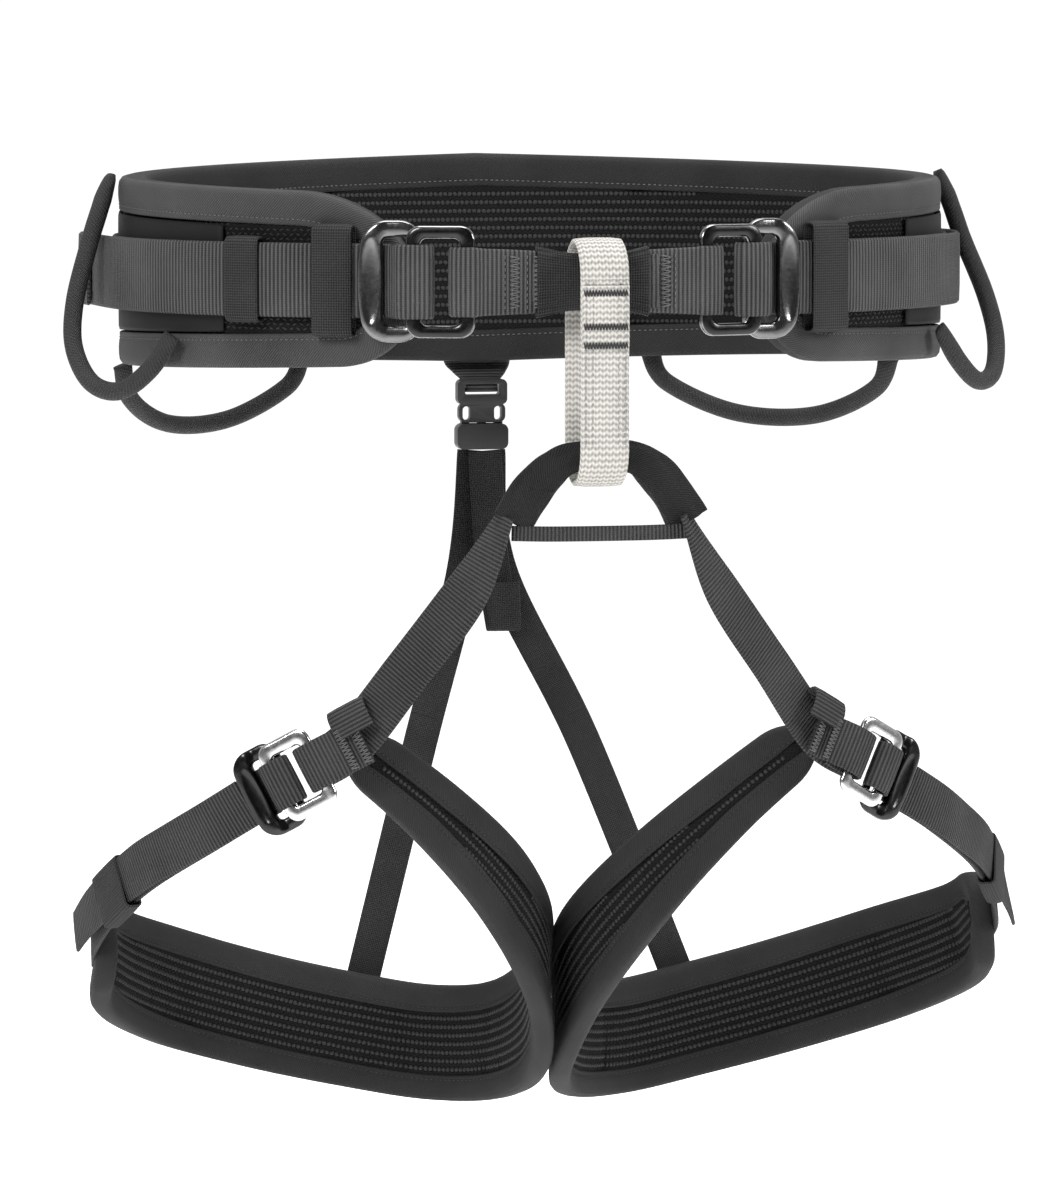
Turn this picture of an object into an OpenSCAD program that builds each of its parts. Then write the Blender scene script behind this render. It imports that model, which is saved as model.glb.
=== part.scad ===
// Climbing sit harness: padded waist belt, two adjustable leg loops, belay loop and gear loops.
// Millimetres. The origin is the middle of the waist opening, +Z is up and the wearer faces -Y.

/* [Waist belt] */
// Half the belt's width, to the middle of the padding
belt_half_width = 168; // [156:2:180]
// Half the belt's depth, to the middle of the padding
belt_half_depth = 118; // [110:2:126]
// Thickness of the waist padding
belt_pad = 10; // [8:1:12]
// Height of the padding at the back
belt_back_height = 88; // [80:2:96]
// Height of the padding beside the front buckles
belt_front_height = 66; // [62:2:72]
// Width of the waist webbing
waist_webbing_width = 30; // [26:1:32]

/* [Belay loop] */
// Length of the belay loop, end to end
belay_length = 100; // [95:1:106]
// Width of the belay loop
belay_width = 20; // [16:1:24]

/* [Leg loops] */
// Width of the leg webbing
leg_webbing_width = 20; // [16:1:22]
// Thickness of the leg padding
leg_pad_thickness = 7; // [5:1:8]
// How far the hanging leg loops lean sideways from front to back
leg_sway = 0.08; // [0:0.02:0.1]
// Width of the elastic risers
riser_width = 15; // [12:1:18]

/* [Gear loops] */
// Thickness of the sheathed gear loops
gear_loop_d = 7.5; // [5.5:0.5:8]

/* [Hidden] */

// Colours
charcoal = [0.10, 0.10, 0.11];
black = [0.05, 0.05, 0.055];
binding_grey = [0.20, 0.20, 0.21];
belay_grey = [0.72, 0.70, 0.66];
steel = [0.72, 0.73, 0.75];
dark_steel = [0.16, 0.16, 0.17];

// Belt layers, measured outwards from the middle of the padding
half_pad = belt_pad / 2;
cloth = 0.8;
binding_skin = 1.2;
binding_wing = 12;
webbing_thick = 2;
pad_start = 72;
nose_z = -4;
nose_top = 48;
nose_low = 30;
panel_inset = 12.6;
webbing_r = half_pad + 3.2;
tail_r = webbing_r + 2.5;
half_web = waist_webbing_width / 2;

// Front of the harness
front_y = -(belt_half_depth + 16);
loop_gap = 26;
loop_thick = 3;
belay_x = -2;
belay_top = 17.5;
belay_drop = belay_length - belay_top;
front_shift = [0, front_y + 134, 100 - belay_length];

// Waist buckles, in belt distance from the front centre; the front strap sits a little to the left
buckle_s = 67;
front_lean = 5;
function adjuster_s(side) = buckle_s - side * front_lean;
frame_r = half_pad + 8.2;
ring_r = half_pad + 10.6;

// Back of the harness
rear_y = belt_half_depth - 3;
rear_x = 2;
rear_z = -belt_back_height / 2;

// ---- Curves ----
function unit(v) = v / norm(v);
function rev(a) = [for (i = [len(a) - 1 : -1 : 0]) a[i]];
function curve_at(a, b, c, d, t) =
    (2 * b + (c - a) * t + (2 * a - 5 * b + 4 * c - d) * t * t + (3 * b - a - 3 * c + d) * t * t * t) / 2;
function curve(p, n) = concat([for (i = [0 : len(p) - 2]) for (k = [0 : n - 1])
    curve_at(p[max(i - 1, 0)], p[i], p[i + 1], p[min(i + 2, len(p) - 1)], k / n)], [p[len(p) - 1]]);
function along(c) = [for (i = [0 : len(c) - 1]) unit(c[min(i + 1, len(c) - 1)] - c[max(i - 1, 0)])];
function square_to(n, t) = unit(n - (n * t) * t);

// A solid from a row of rings, each listed anticlockwise about the direction of travel
module skin(rings, closed = false) {
    m = len(rings[0]);
    n = len(rings);
    sides = [for (i = [0 : closed ? n - 1 : n - 2]) for (j = [0 : m - 1])
        let (next = ((i + 1) % n) * m, k = (j + 1) % m, a = i * m + j, b = i * m + k,
            c = next + k, d = next + j)
        each [[a, c, b], [a, d, c]]];
    caps = closed ? [] : [[for (j = [0 : m - 1]) j], [for (j = [m - 1 : -1 : 0]) (n - 1) * m + j]];
    polyhedron(points = [for (r = rings) each r], faces = concat(sides, caps), convexity = 8);
}

// A flat strap along the points c, its face towards the directions n
module strap(c, n, wide, thick) {
    t = along(c);
    skin([for (i = [0 : len(c) - 1])
        let (m = square_to(n[i], t[i]), b = cross(t[i], m), h = thick / 2,
            w = (is_list(wide) ? wide[i] : wide) / 2)
        [c[i] + h * m - w * b, c[i] + h * m + w * b, c[i] - h * m + w * b, c[i] - h * m - w * b]]);
}

// A round cord along the points c, with n a direction it never runs along
module cord(c, n, d, sides = 8) {
    t = along(c);
    skin([for (i = [0 : len(c) - 1]) let (m = square_to(n, t[i]), b = cross(t[i], m))
        [for (k = [0 : sides - 1]) c[i] + d / 2 * (cos(k * 360 / sides) * m + sin(k * 360 / sides) * b)]]);
}

// ---- The belt's ellipse, measured by distance s round it from the front centre, right side first ----
arc_steps = 360;
function ellipse_pt(a) = [belt_half_width * sin(a), -belt_half_depth * cos(a)];
function arc_step(i) = norm(ellipse_pt((i + 1) * 180 / arc_steps) - ellipse_pt(i * 180 / arc_steps));
arc_table = [for (i = 0, s = 0; i <= arc_steps; s = s + arc_step(i), i = i + 1) [s, i * 180 / arc_steps]];
belt_half = arc_table[arc_steps][0];
function belt_angle(s) = s < 0 ? -belt_angle(-s)
    : s > belt_half ? 360 - lookup(2 * belt_half - s, arc_table) : lookup(s, arc_table);
function out_at(s) = let (a = belt_angle(s)) unit([belt_half_depth * sin(a), -belt_half_width * cos(a), 0]);
function belt_pt(s, z, r) = let (p = ellipse_pt(belt_angle(s))) [p[0], p[1], z] + r * out_at(s);
module at_belt(s) {
    p = belt_pt(s, 0, 0);
    o = out_at(s);
    multmatrix([[-o[1], 0, o[0], p[0]], [o[0], 0, o[1], p[1]], [0, 1, 0, 0], [0, 0, 0, 1]]) children();
}
// Points [s, z, r] on the belt as a curve, and the outward directions along it
function belt_route(p, n) = [for (q = curve(p, n)) belt_pt(q[0], q[1], q[2])];
function belt_outs(p, n) = [for (q = curve(p, n)) out_at(q[0])];
module belt_strap(p, n, wide, thick) strap(belt_route(p, n), belt_outs(p, n), wide, thick);

// The pad's outline: round noses at the front, deeper at the back
function round_in(e, r) = e >= r ? 1 : sqrt(1 - pow(1 - e / r, 2));
function pad_run(s) = min(s, 2 * belt_half - s) - pad_start;
function pad_half(s) = (belt_front_height + (belt_back_height - belt_front_height)
    * pad_run(s) / (belt_half - pad_start)) / 2;
function pad_top(s) = nose_z + (pad_half(s) - nose_z) * round_in(pad_run(s), nose_top);
function pad_low(s) = nose_z - (pad_half(s) + nose_z) * round_in(pad_run(s), nose_low);
nose_steps = [0.5, 1, 2, 3, 4, 5, 6, 7, 8, 9];
pad_steps = 24;
right_stations = concat([for (k = nose_steps) pad_start + nose_top * (1 - cos(9 * k))],
    [for (k = [0 : pad_steps]) pad_start + nose_top + k * (belt_half - pad_start - nose_top) / pad_steps]);
stations = concat(right_stations,
    [for (i = [len(right_stations) - 2 : -1 : 0]) 2 * belt_half - right_stations[i]]);
pad_count = len(stations);
outline = concat([for (s = stations) [s, pad_top(s)]], [for (s = rev(stations)) [s, pad_low(s)]]);

// Distance d in from the outline and r out from the middle of the padding
function rim(i, d, r) = let (m = len(outline), a = outline[(i + m - 1) % m], b = outline[(i + 1) % m],
    o = outline[i], n = out_at(o[0]), t = unit(belt_pt(b[0], b[1], 0) - belt_pt(a[0], a[1], 0)))
    belt_pt(o[0], o[1], 0) + d * unit(cross(t, n)) + r * n;
// A sheet between radii lo and hi, kept d inside the outline
module pad_sheet(d, lo, hi) skin([for (i = [0 : pad_count - 1]) let (j = 2 * pad_count - 1 - i)
    [rim(i, d, hi), rim(j, d, hi), rim(j, d, lo), rim(i, d, lo)]]);

module belt_foam() color(charcoal)
    skin([for (s = stations) [belt_pt(s, pad_top(s), half_pad), belt_pt(s, pad_low(s), half_pad),
        belt_pt(s, pad_low(s), -half_pad), belt_pt(s, pad_top(s), -half_pad)]]);

module belt_lining() color(black) pad_sheet(panel_inset, -half_pad - cloth, -half_pad);

module belt_outer_panel() color(black) pad_sheet(panel_inset, half_pad, half_pad + cloth);

module belt_binding() color(binding_grey) {
    a = half_pad + binding_skin;
    skin([for (i = [0 : len(outline) - 1])
        [rim(i, -binding_skin, a), rim(i, binding_wing, a), rim(i, binding_wing, half_pad),
        rim(i, 0, half_pad), rim(i, 0, -half_pad), rim(i, binding_wing, -half_pad),
        rim(i, binding_wing, -a), rim(i, -binding_skin, -a)]], closed = true);
}

// Smooth wear patch on the side of the belt, from s = from to s = to
module side_patch(from, to) {
    lo = half_pad + cloth;
    skin([for (k = [0 : 10]) let (s = from + (to - from) * k / 10, h = pad_half(s) - panel_inset - 1)
        [belt_pt(s, h, lo + cloth), belt_pt(s, -h, lo + cloth), belt_pt(s, -h, lo), belt_pt(s, h, lo)]]);
}
module right_side_patch() color(black) side_patch(152, 258);
module left_side_patch() color(black) side_patch(2 * belt_half - 258, 2 * belt_half - 152);

// ---- Waist webbing ----
// Each buckle's webbing comes up behind the frame's thumb bar, over the ring's outer bar and down through it
module over_bar(side) {
    p = [[30, webbing_r], [20, webbing_r], [14, webbing_r + 0.6], [9, webbing_r + 3.6],
        [6.6, ring_r - 1], [4, ring_r + 3.6], [-1, ring_r + 4.6], [-6.4, ring_r + 3.4],
        [-8, ring_r - 0.4]];
    c = curve(p, 4);
    pts = [for (q = c) belt_pt(adjuster_s(side) + q[0], 0, q[1])];
    t = along(pts);
    face = [for (i = [0 : len(c) - 1]) cross([0, 0, -1], t[i])];
    mirror([side < 0 ? 1 : 0, 0, 0]) strap(pts, face, waist_webbing_width, webbing_thick);
}
module waist_run() belt_strap([for (k = [0 : 30])
    [adjuster_s(1) + 30 + k * (2 * belt_half - 2 * buckle_s - 60) / 30, 0, webbing_r]], 2,
    waist_webbing_width, webbing_thick);
module waist_webbing() color(black) {
    waist_run();
    over_bar(1);
    over_bar(-1);
}

// The adjusters' loose ends lie over the webbing and under the keepers
right_tail_route = [[adjuster_s(1) + 22, 0, tail_r], [130, 0, tail_r], [160, 0, tail_r],
    [180, 0, tail_r + 0.6], [200, 0, tail_r + 2.4], [225, 0, tail_r + 3.2], [246, 0, tail_r + 2]];
module right_waist_tail() color(black) belt_strap(right_tail_route, 4, waist_webbing_width, webbing_thick);
left_tail_route = [[adjuster_s(-1) + 22, 0, tail_r], [130, 0, tail_r], [160, 0, tail_r], [200, 0, tail_r],
    [225, 0, tail_r + 1], [244, 0, tail_r + 5], [258, 0, tail_r + 11], [266, 0, tail_r + 14]];
module left_waist_tail() color(black) mirror([1, 0, 0]) {
    belt_strap(left_tail_route, 4, waist_webbing_width, webbing_thick);
    // Folded and sewn end that keeps it from slipping through the buckle
    belt_strap([[266.4, 0, tail_r + 14.2], [258, 0, tail_r + 13.4], [246, 0, tail_r + 8.4]], 3,
        waist_webbing_width, webbing_thick);
}

// Elastic keeper round the webbing: centre s, width w, half height h
module keeper(s, w, h) {
    hi = tail_r + webbing_thick / 2 + 1.8;
    lo = half_pad + cloth + 0.05;
    difference() {
        skin([for (k = [0 : 4]) let (q = s - w / 2 + k * w / 4)
            [belt_pt(q, h, hi - 1.2), belt_pt(q, h - 2, hi), belt_pt(q, -h + 2, hi), belt_pt(q, -h, hi - 1.2),
            belt_pt(q, -h, lo), belt_pt(q, h, lo)]]);
        skin([for (k = [0 : 6]) let (q = s - w / 2 - 2 + k * (w + 4) / 6)
            [belt_pt(q, half_web + 0.4, hi - 1.2), belt_pt(q, -half_web - 0.4, hi - 1.2),
            belt_pt(q, -half_web - 0.4, lo + 1), belt_pt(q, half_web + 0.4, lo + 1)]]);
    }
}
module right_keeper() color(charcoal) keeper(99, 19, 22.5);
module left_front_keeper() color(charcoal) mirror([1, 0, 0]) keeper(103, 17, 22.5);
module left_rear_keeper() color(charcoal) mirror([1, 0, 0]) keeper(140, 15.5, half_web + 2.2);

// ---- Tie-in strap across the front ----
// A point u along and r out from an adjuster's middle, before the left one is mirrored
function adjuster_pt(side, u, r) = let (o = out_at(adjuster_s(side)))
    belt_pt(adjuster_s(side), 0, 0) + u * [-o[1], o[0], 0] + r * o;
module tie_in_strap() color(black) {
    n = [0, -1, 0];
    route = [[-43, front_y + 3, 0], [-34, front_y + 1.5, 0], [-23, front_y, 0], [0, front_y, 0],
        [18, front_y, 0], [26, front_y + 1.5, 0], [33, front_y + 3, 0]];
    wide = [for (q = curve([[26], [25], [22], [21], [22], [25], [26]], 5)) q[0] * waist_webbing_width / 30];
    c = curve(route, 5);
    strap(c, [for (q = c) n], wide, 4.4);
    // Ends sewn round the plates' inner bars
    for (side = [1, -1]) mirror([side < 0 ? 1 : 0, 0, 0]) {
        loop = [[33 - 5 * side - 2, front_y + 1.4, 0], adjuster_pt(side, -29.5, 17.6),
            adjuster_pt(side, -26, 19.7), adjuster_pt(side, -22, 20.2), adjuster_pt(side, -17.6, 19),
            adjuster_pt(side, -16, 15.6)];
        d = curve(loop, 4);
        t = along(d);
        strap(d, [for (i = [0 : len(d) - 1]) cross([0, 0, -1], t[i])], waist_webbing_width - 2, 2);
    }
}
module tie_in_sleeve() color(charcoal) {
    face = [for (k = [0 : 12]) [0, -1, 0]];
    difference() {
        strap(curve([[-27, front_y, 0], [-12, front_y, 0], [7, front_y, 0], [19, front_y, 0]], 4), face,
            [for (q = curve([[28], [23], [23], [28]], 4)) q[0] * waist_webbing_width / 30], 6.6);
        strap([for (k = [0 : 12]) [-29 + 4.2 * k, front_y, 0]], face, waist_webbing_width * 0.66, 4.4);
    }
}

// ---- Waist buckles ----
module slab(w, h, r) {
    square([w - 2 * r, h], center = true);
    square([w, h - 2 * r], center = true);
    for (x = [-1, 1]) for (y = [-1, 1]) translate([x * (w / 2 - r), y * (h / 2 - r)]) circle(r, $fn = 32);
}
ring_w = 28;
ring_h = 45;
// Ring: its outer bar carries the waist webbing and its inner bar the tie-in strap
module buckle_plate(side) at_belt(adjuster_s(side)) translate([2 - ring_w / 2, 0, ring_r]) difference() {
    linear_extrude(2.6) slab(ring_w, ring_h, 6);
    translate([0, 0, -1]) linear_extrude(5) slab(ring_w - 11.5, ring_h - 10, 3);
}
module right_waist_buckle_plate() color(steel) buckle_plate(1);
module left_waist_buckle_plate() color(steel) mirror([1, 0, 0]) buckle_plate(-1);
frame_w = 23;
frame_h = 49;
// Frame behind the ring: slim inner bar, broad curved thumb bar at the outer end
module buckle_frame(side) at_belt(adjuster_s(side)) translate([frame_w / 2 - 4, 0, frame_r - 1.5])
    difference() {
    linear_extrude(3) slab(frame_w, frame_h, 8);
    translate([-1.9, 0, -1]) linear_extrude(6) slab(12, frame_h - 13, 3);
    translate([0, 0, 42]) rotate([90, 0, 0]) cylinder(h = 26, r = 40, center = true, $fn = 96);
}
module right_waist_buckle_frame() color(dark_steel) buckle_frame(1);
module left_waist_buckle_frame() color(dark_steel) mirror([1, 0, 0]) buckle_frame(-1);

// ---- Gear loops ----
front_gear = [[belt_half_width + 10.6, 6, 38], [belt_half_width + 19, 2, 14], [belt_half_width + 27, -8, -12],
    [belt_half_width + 29, -18, -30], [belt_half_width + 24, -32, -44], [belt_half_width + 14, -44, -47],
    [belt_half_width + 3, -53, -38], [belt_half_width - 6, -56, -24]];
module front_gear_loop() cord(curve(front_gear, 5), [0.5, -0.8, 0.3], gear_loop_d);
module right_front_gear_loop() color(black) front_gear_loop();
module left_front_gear_loop() color(black) mirror([1, 0, 0]) front_gear_loop();
rear_gear = [[268, 0], [275, -14], [305, -27], [340, -27], [370, -14], [377, 0]];
function rear_gear_pt(q) = belt_pt(q[0], q[1] - pad_half(320) - 1, half_pad + 5);
module rear_gear_loop() cord([for (q = curve(rear_gear, 6)) rear_gear_pt(q)], [0.4, 0.8, 0.1], gear_loop_d);
module right_rear_gear_loop() color(black) rear_gear_loop();
module left_rear_gear_loop() color(black) mirror([1, 0, 0]) rear_gear_loop();

// ---- Belay loop: one webbing ring round the tie-in strap and the leg bridge ----
module belay_loop() color(belay_grey) {
    r = loop_gap / 2;
    a = belay_top - r - loop_thick;
    b = -belay_drop + r + loop_thick;
    mid = r + loop_thick / 2;
    h = loop_thick / 2;
    w = belay_width / 2;
    ring = concat([for (k = [0 : 8]) [-mid * cos(k * 22.5), a + mid * sin(k * 22.5)]],
        [for (k = [0 : 8]) [mid * cos(k * 22.5), b - mid * sin(k * 22.5)]]);
    m = len(ring);
    skin([for (i = [0 : m - 1])
        let (p = ring[i], t = unit(ring[(i + 1) % m] - ring[(i + m - 1) % m]), n = [-t[1], t[0]])
        [for (q = [[h, -w], [h, w], [-h, w], [-h, -w]])
            [belay_x - q[1], front_y + p[0] + q[0] * n[0], p[1] + q[0] * n[1]]]], closed = true);
}

// ---- Rear buckle and risers ----
module rear_tab() color(black) {
    z = rear_z;
    strap([[rear_x, belt_half_depth + 7.3, z + 20], [rear_x, belt_half_depth + 7.3, z],
        [rear_x, rear_y + 5, z - 6], [rear_x, rear_y, z - 10.5], [rear_x, rear_y, z - 14.5]],
        [for (k = [0 : 4]) [0, 1, 0]], [30, 30, 24, 14, 14], 1.8);
}
plug_top = rear_z - 9;
module rear_buckle_plug() color(black) translate([rear_x, rear_y, plug_top]) {
    difference() {
        translate([0, 3, -5.5]) rotate([90, 0, 0]) linear_extrude(6) slab(22, 11, 2.5);
        translate([0, 4, -4.4]) rotate([90, 0, 0]) linear_extrude(8) slab(15.5, 4.6, 1);
    }
    // Arms bowed outwards beside the solid middle, then the prongs inside the socket
    difference() {
        translate([0, 2.2, -14.6]) rotate([90, 0, 0]) linear_extrude(4.4) slab(20.6, 8.6, 3);
        for (x = [-7, 7]) translate([x, 4, -14.8]) rotate([90, 0, 0]) linear_extrude(8)
            slab(3.4, 6, 1.6);
    }
    for (x = [-7.4, 0, 7.4]) translate([x, 0, -23]) cube([3.4, 3.6, 10.4], center = true);
}
socket_top = plug_top - 19.4;
module rear_buckle_socket() color(black) translate([rear_x, rear_y, socket_top]) difference() {
    translate([0, 4, -5.6]) rotate([90, 0, 0]) linear_extrude(8) slab(22.6, 11.2, 3);
    translate([0, 0, -4.6]) cube([19, 5, 9.8], center = true);
}
riser_top = socket_top - 11.8;
// Leg loop points lean by the same sway on both sides; a left part is the mirror of a right one
function leg_pt(p, sway) = [p[0] + sway * (p[1] + 100), p[1], p[2]] + front_shift;
function riser_route(side) = let (low = leg_pt([71, 98, -317], side * leg_sway),
    high = [side * rear_x + 3, rear_y, riser_top])
    [high, high + [5, -1, -52.4], high + (low - high) * 0.545 + [-4, 2, 0], low];
function riser_part(side, from, to) = let (c = curve(riser_route(side), 8))
    [for (i = [from : to]) i == riser_cut && from > 0 ? c[i] + 0.06 * (c[i + 1] - c[i]) : c[i]];
module riser(side, from, to) {
    c = riser_part(side, from, to);
    translate([0, side > 0 ? -1 : 1, 0]) mirror([side < 0 ? 1 : 0, 0, 0])
        strap(c, [for (q = c) [0, -1, 0]], riser_width, 1.4);
}
riser_cut = 15;
module right_upper_riser() color(black) riser(1, 0, riser_cut);
module left_upper_riser() color(black) riser(-1, 0, riser_cut);
module right_lower_riser() color(black) riser(1, riser_cut, 24);
module left_lower_riser() color(black) riser(-1, riser_cut, 24);
// Loose end of the riser elastic, folded back on itself
module riser_tail() color(black) {
    fold = [[1, -3, 0], [3, -6, -42], [7, -9, -73], [7.6, -11, -77.6], [7.4, -13, -73], [7, -12.4, -57]];
    c = curve([for (p = fold) p + [rear_x, rear_y, riser_top]], 5);
    strap(c, [for (t = along(c)) cross(t, [1, 0, 0])], riser_width, 1.4);
}

// ---- Leg loops ----
leg_centre = [100, 0, 0];
pad_route = [[190, 2, -276], [187, 34, -292], [160, 72, -309], [118, 90, -324], [78, 93, -334],
    [42, 80, -339], [16, 50, -334], [6, 8, -317], [10, -36, -286], [31, -74, -250], [62, -92, -217],
    [96, -98, -189]];
pad_widths = [38, 44, 48, 48, 48, 48, 48, 46, 41, 33, 26, 22];
leg_fine = 8;
function radial(p) = unit([p[0] - leg_centre[0], p[1] - leg_centre[1] - front_shift[1], 0]);
function lengths(c) = [for (i = 0, s = 0; i < len(c);
    s = s + (i < len(c) - 1 ? norm(c[i + 1] - c[i]) : 0), i = i + 1) s];
// Pad stations along its length, close together round the two ends
function leg_line(side) = let (c = curve([for (p = pad_route) leg_pt(p, side * leg_sway)], leg_fine)) c;
leg_end = 17;
leg_wing = 8;
module leg_frame(side, d, lo, hi, channel = false) {
    c = leg_line(side);
    w = [for (q = curve([for (v = pad_widths) [v]], leg_fine)) q[0]];
    l = lengths(c);
    total = l[len(l) - 1];
    tx = [for (i = [0 : len(c) - 1]) [l[i], c[i][0]]];
    ty = [for (i = [0 : len(c) - 1]) [l[i], c[i][1]]];
    tz = [for (i = [0 : len(c) - 1]) [l[i], c[i][2]]];
    tw = [for (i = [0 : len(c) - 1]) [l[i], w[i]]];
    ends = [for (k = [1, 2, 3, 4, 5]) leg_end * (1 - cos(18 * k))];
    mid_steps = 46;
    at = concat(ends, [for (k = [1 : mid_steps - 1]) leg_end + k * (total - 2 * leg_end) / mid_steps],
        [for (e = rev(ends)) total - e]);
    n = len(at);
    pts = [for (s = at) [lookup(s, tx), lookup(s, ty), lookup(s, tz)]];
    t = along(pts);
    out = [for (i = [0 : n - 1]) square_to(radial(pts[i]), t[i])];
    half = [for (s = at) lookup(s, tw) / 2 * round_in(min(s, total - s) + 0.3, leg_end)];
    down = [for (i = [0 : n - 1]) cross(t[i], out[i])];
    edge = concat([for (i = [0 : n - 1]) pts[i] - half[i] * down[i]],
        [for (i = [n - 1 : -1 : 0]) pts[i] + half[i] * down[i]]);
    face = concat(out, rev(out));
    m = len(edge);
    in = [for (i = [0 : m - 1]) unit(cross(unit(edge[(i + 1) % m] - edge[(i + m - 1) % m]), face[i]))];
    mirror([side < 0 ? 1 : 0, 0, 0])
    if (channel) {
        b = hi + 1;
        section = [[b, -1], [b, leg_wing], [hi, leg_wing], [hi, 0], [-hi, 0], [-hi, leg_wing], [-b, leg_wing],
            [-b, -1]];
        skin([for (i = [0 : m - 1]) [for (q = section) edge[i] + q[1] * in[i] + q[0] * face[i]]],
            closed = true);
    } else skin([for (i = [0 : n - 1]) let (j = m - 1 - i)
        [edge[i] + d * in[i] + hi * face[i], edge[j] + d * in[j] + hi * face[i],
        edge[j] + d * in[j] + lo * face[i], edge[i] + d * in[i] + lo * face[i]]]);
}
half_leg = leg_pad_thickness / 2;
module right_leg_pad() color(charcoal) leg_frame(1, 0, -half_leg, half_leg);
module left_leg_pad() color(charcoal) leg_frame(-1, 0, -half_leg, half_leg);
module right_leg_binding() color(binding_grey) leg_frame(1, 0, -half_leg, half_leg, channel = true);
module left_leg_binding() color(binding_grey) leg_frame(-1, 0, -half_leg, half_leg, channel = true);

// Webbing from the bridge down to the leg buckle, a half twist on the way
front_route = [[37, -134, -94], [52, -131, -124], [76, -119, -158], [97, -107, -187], [112, -102.5, -197]];
front_faces = [[0.9, -0.4, 0.1], [0.6, -0.8, 0.15], [0.4, -0.9, 0.2], [0.3, -0.95, 0.15], [0.3, -0.95, 0.1]];
front_widths = [11, leg_webbing_width, leg_webbing_width, leg_webbing_width, leg_webbing_width];
module leg_front(side) mirror([side < 0 ? 1 : 0, 0, 0])
    strap(curve([for (p = front_route) leg_pt(p, side * leg_sway)], 6), curve(front_faces, 6),
        [for (q = curve([for (v = front_widths) [v]], 6)) q[0]], 2);
module right_leg_front_webbing() color(black) leg_front(1);
module left_leg_front_webbing() color(black) leg_front(-1);
// Leg buckles: x runs along the strap away from the bridge, y across it, z outwards
buckle_at = [123, -98, -203.5];
buckle_x = unit([22, 9.5, -13]);
buckle_z = square_to([0.3, -0.95, 0.1], buckle_x);
function leg_buckle_pt(p) = buckle_at + front_shift
    + p[0] * buckle_x + p[1] * cross(buckle_z, buckle_x) + p[2] * buckle_z;
module at_leg_buckle(side) {
    y = cross(buckle_z, buckle_x);
    o = buckle_at + front_shift;
    rows = [for (k = [0 : 2]) [buckle_x[k], y[k], buckle_z[k], o[k]]];
    mirror([side < 0 ? 1 : 0, 0, 0]) multmatrix(concat(rows, [[0, 0, 0, 1]])) children();
}
leg_frame_z = 3.4;
leg_ring_z = 5.8;
leg_ring_h = leg_webbing_width + 14;
module leg_buckle_plate(side) at_leg_buckle(side) translate([-7.5, 0, leg_ring_z]) difference() {
    linear_extrude(2.2) slab(23, leg_ring_h, 5);
    translate([0, 0, -1]) linear_extrude(4) slab(13, leg_ring_h - 11.6, 2);
}
module right_leg_buckle_plate() color(steel) leg_buckle_plate(1);
module left_leg_buckle_plate() color(steel) leg_buckle_plate(-1);
module leg_buckle_frame(side) at_leg_buckle(side) translate([6, 0, leg_frame_z - 1.3]) difference() {
    linear_extrude(2.6) slab(20, leg_ring_h + 3, 6);
    translate([-2.2, 0, -1]) linear_extrude(5) slab(9.4, leg_ring_h - 8, 2);
    translate([0, 0, 31.8]) rotate([90, 0, 0])
        cylinder(h = leg_webbing_width, r = 30, center = true, $fn = 96);
}
module right_leg_buckle_frame() color(dark_steel) leg_buckle_frame(1);
module left_leg_buckle_frame() color(dark_steel) leg_buckle_frame(-1);

// Webbing from the leg buckle round the outside of the thigh to the pad
adjust_route = [[152, -82, -222], [176, -50, -242], [189, -20, -260], [194.8, 1, -275], [194, 18, -284]];
over_leg_ring = [[-6.2, 0, 6], [-5.8, 0, 8.8], [-3, 0, 10.4], [2, 0, 10.2], [5.2, 0, 7.6], [6, 0, 3.6],
    [7.8, 0, 0.4], [13.7, 0, -0.4]];
module leg_adjust(side) {
    c = curve(concat([for (p = over_leg_ring) leg_buckle_pt(p)],
        [for (p = adjust_route) leg_pt(p, side * leg_sway)]), 4);
    t = along(c);
    across = cross(buckle_z, buckle_x);
    tip = len(over_leg_ring) * 4;
    mirror([side < 0 ? 1 : 0, 0, 0]) strap(c, [for (i = [0 : len(c) - 1])
        i < tip ? cross(t[i], across) : radial(c[i])], leg_webbing_width, 2);
}
module right_leg_adjust_webbing() color(black) leg_adjust(1);
module left_leg_adjust_webbing() color(black) leg_adjust(-1);

// The adjuster's loose end lies on top and passes through the keeper
tail_route = [[152, -82, -222], [165, -67, -232], [178, -48, -243], [189, -24, -257], [195.5, -8, -267],
    [200, 3, -276]];
module leg_tail(side) {
    c = curve(concat([leg_buckle_pt([17.6, 0, 2])],
        [for (p = tail_route) let (q = leg_pt(p, side * leg_sway)) q + 2.2 * radial(q)]), 4);
    mirror([side < 0 ? 1 : 0, 0, 0]) strap(c, [for (p = c) radial(p)], leg_webbing_width, 1.8);
}
module right_leg_strap_tail() color(black) leg_tail(1);
module left_leg_strap_tail() color(black) leg_tail(-1);

// Elastic keeper round both layers
module leg_keeper(side) {
    c = [for (p = [[180, -42, -247], [184, -33, -252.2], [188.2, -22.5, -258.6], [191.3, -13.5, -264.6]])
        let (q = leg_pt(p, side * leg_sway)) q + 1.4 * radial(q)];
    n = [for (p = c) radial(p)];
    mirror([side < 0 ? 1 : 0, 0, 0]) difference() {
        strap(c, n, leg_webbing_width + 4, 8.4);
        strap([for (i = [0 : 3]) c[i] + (i - 1.5) * 0.2 * (c[3] - c[0])], n, leg_webbing_width + 1, 6);
    }
}
module right_leg_keeper() color(charcoal) leg_keeper(1);
module left_leg_keeper() color(charcoal) leg_keeper(-1);

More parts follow.
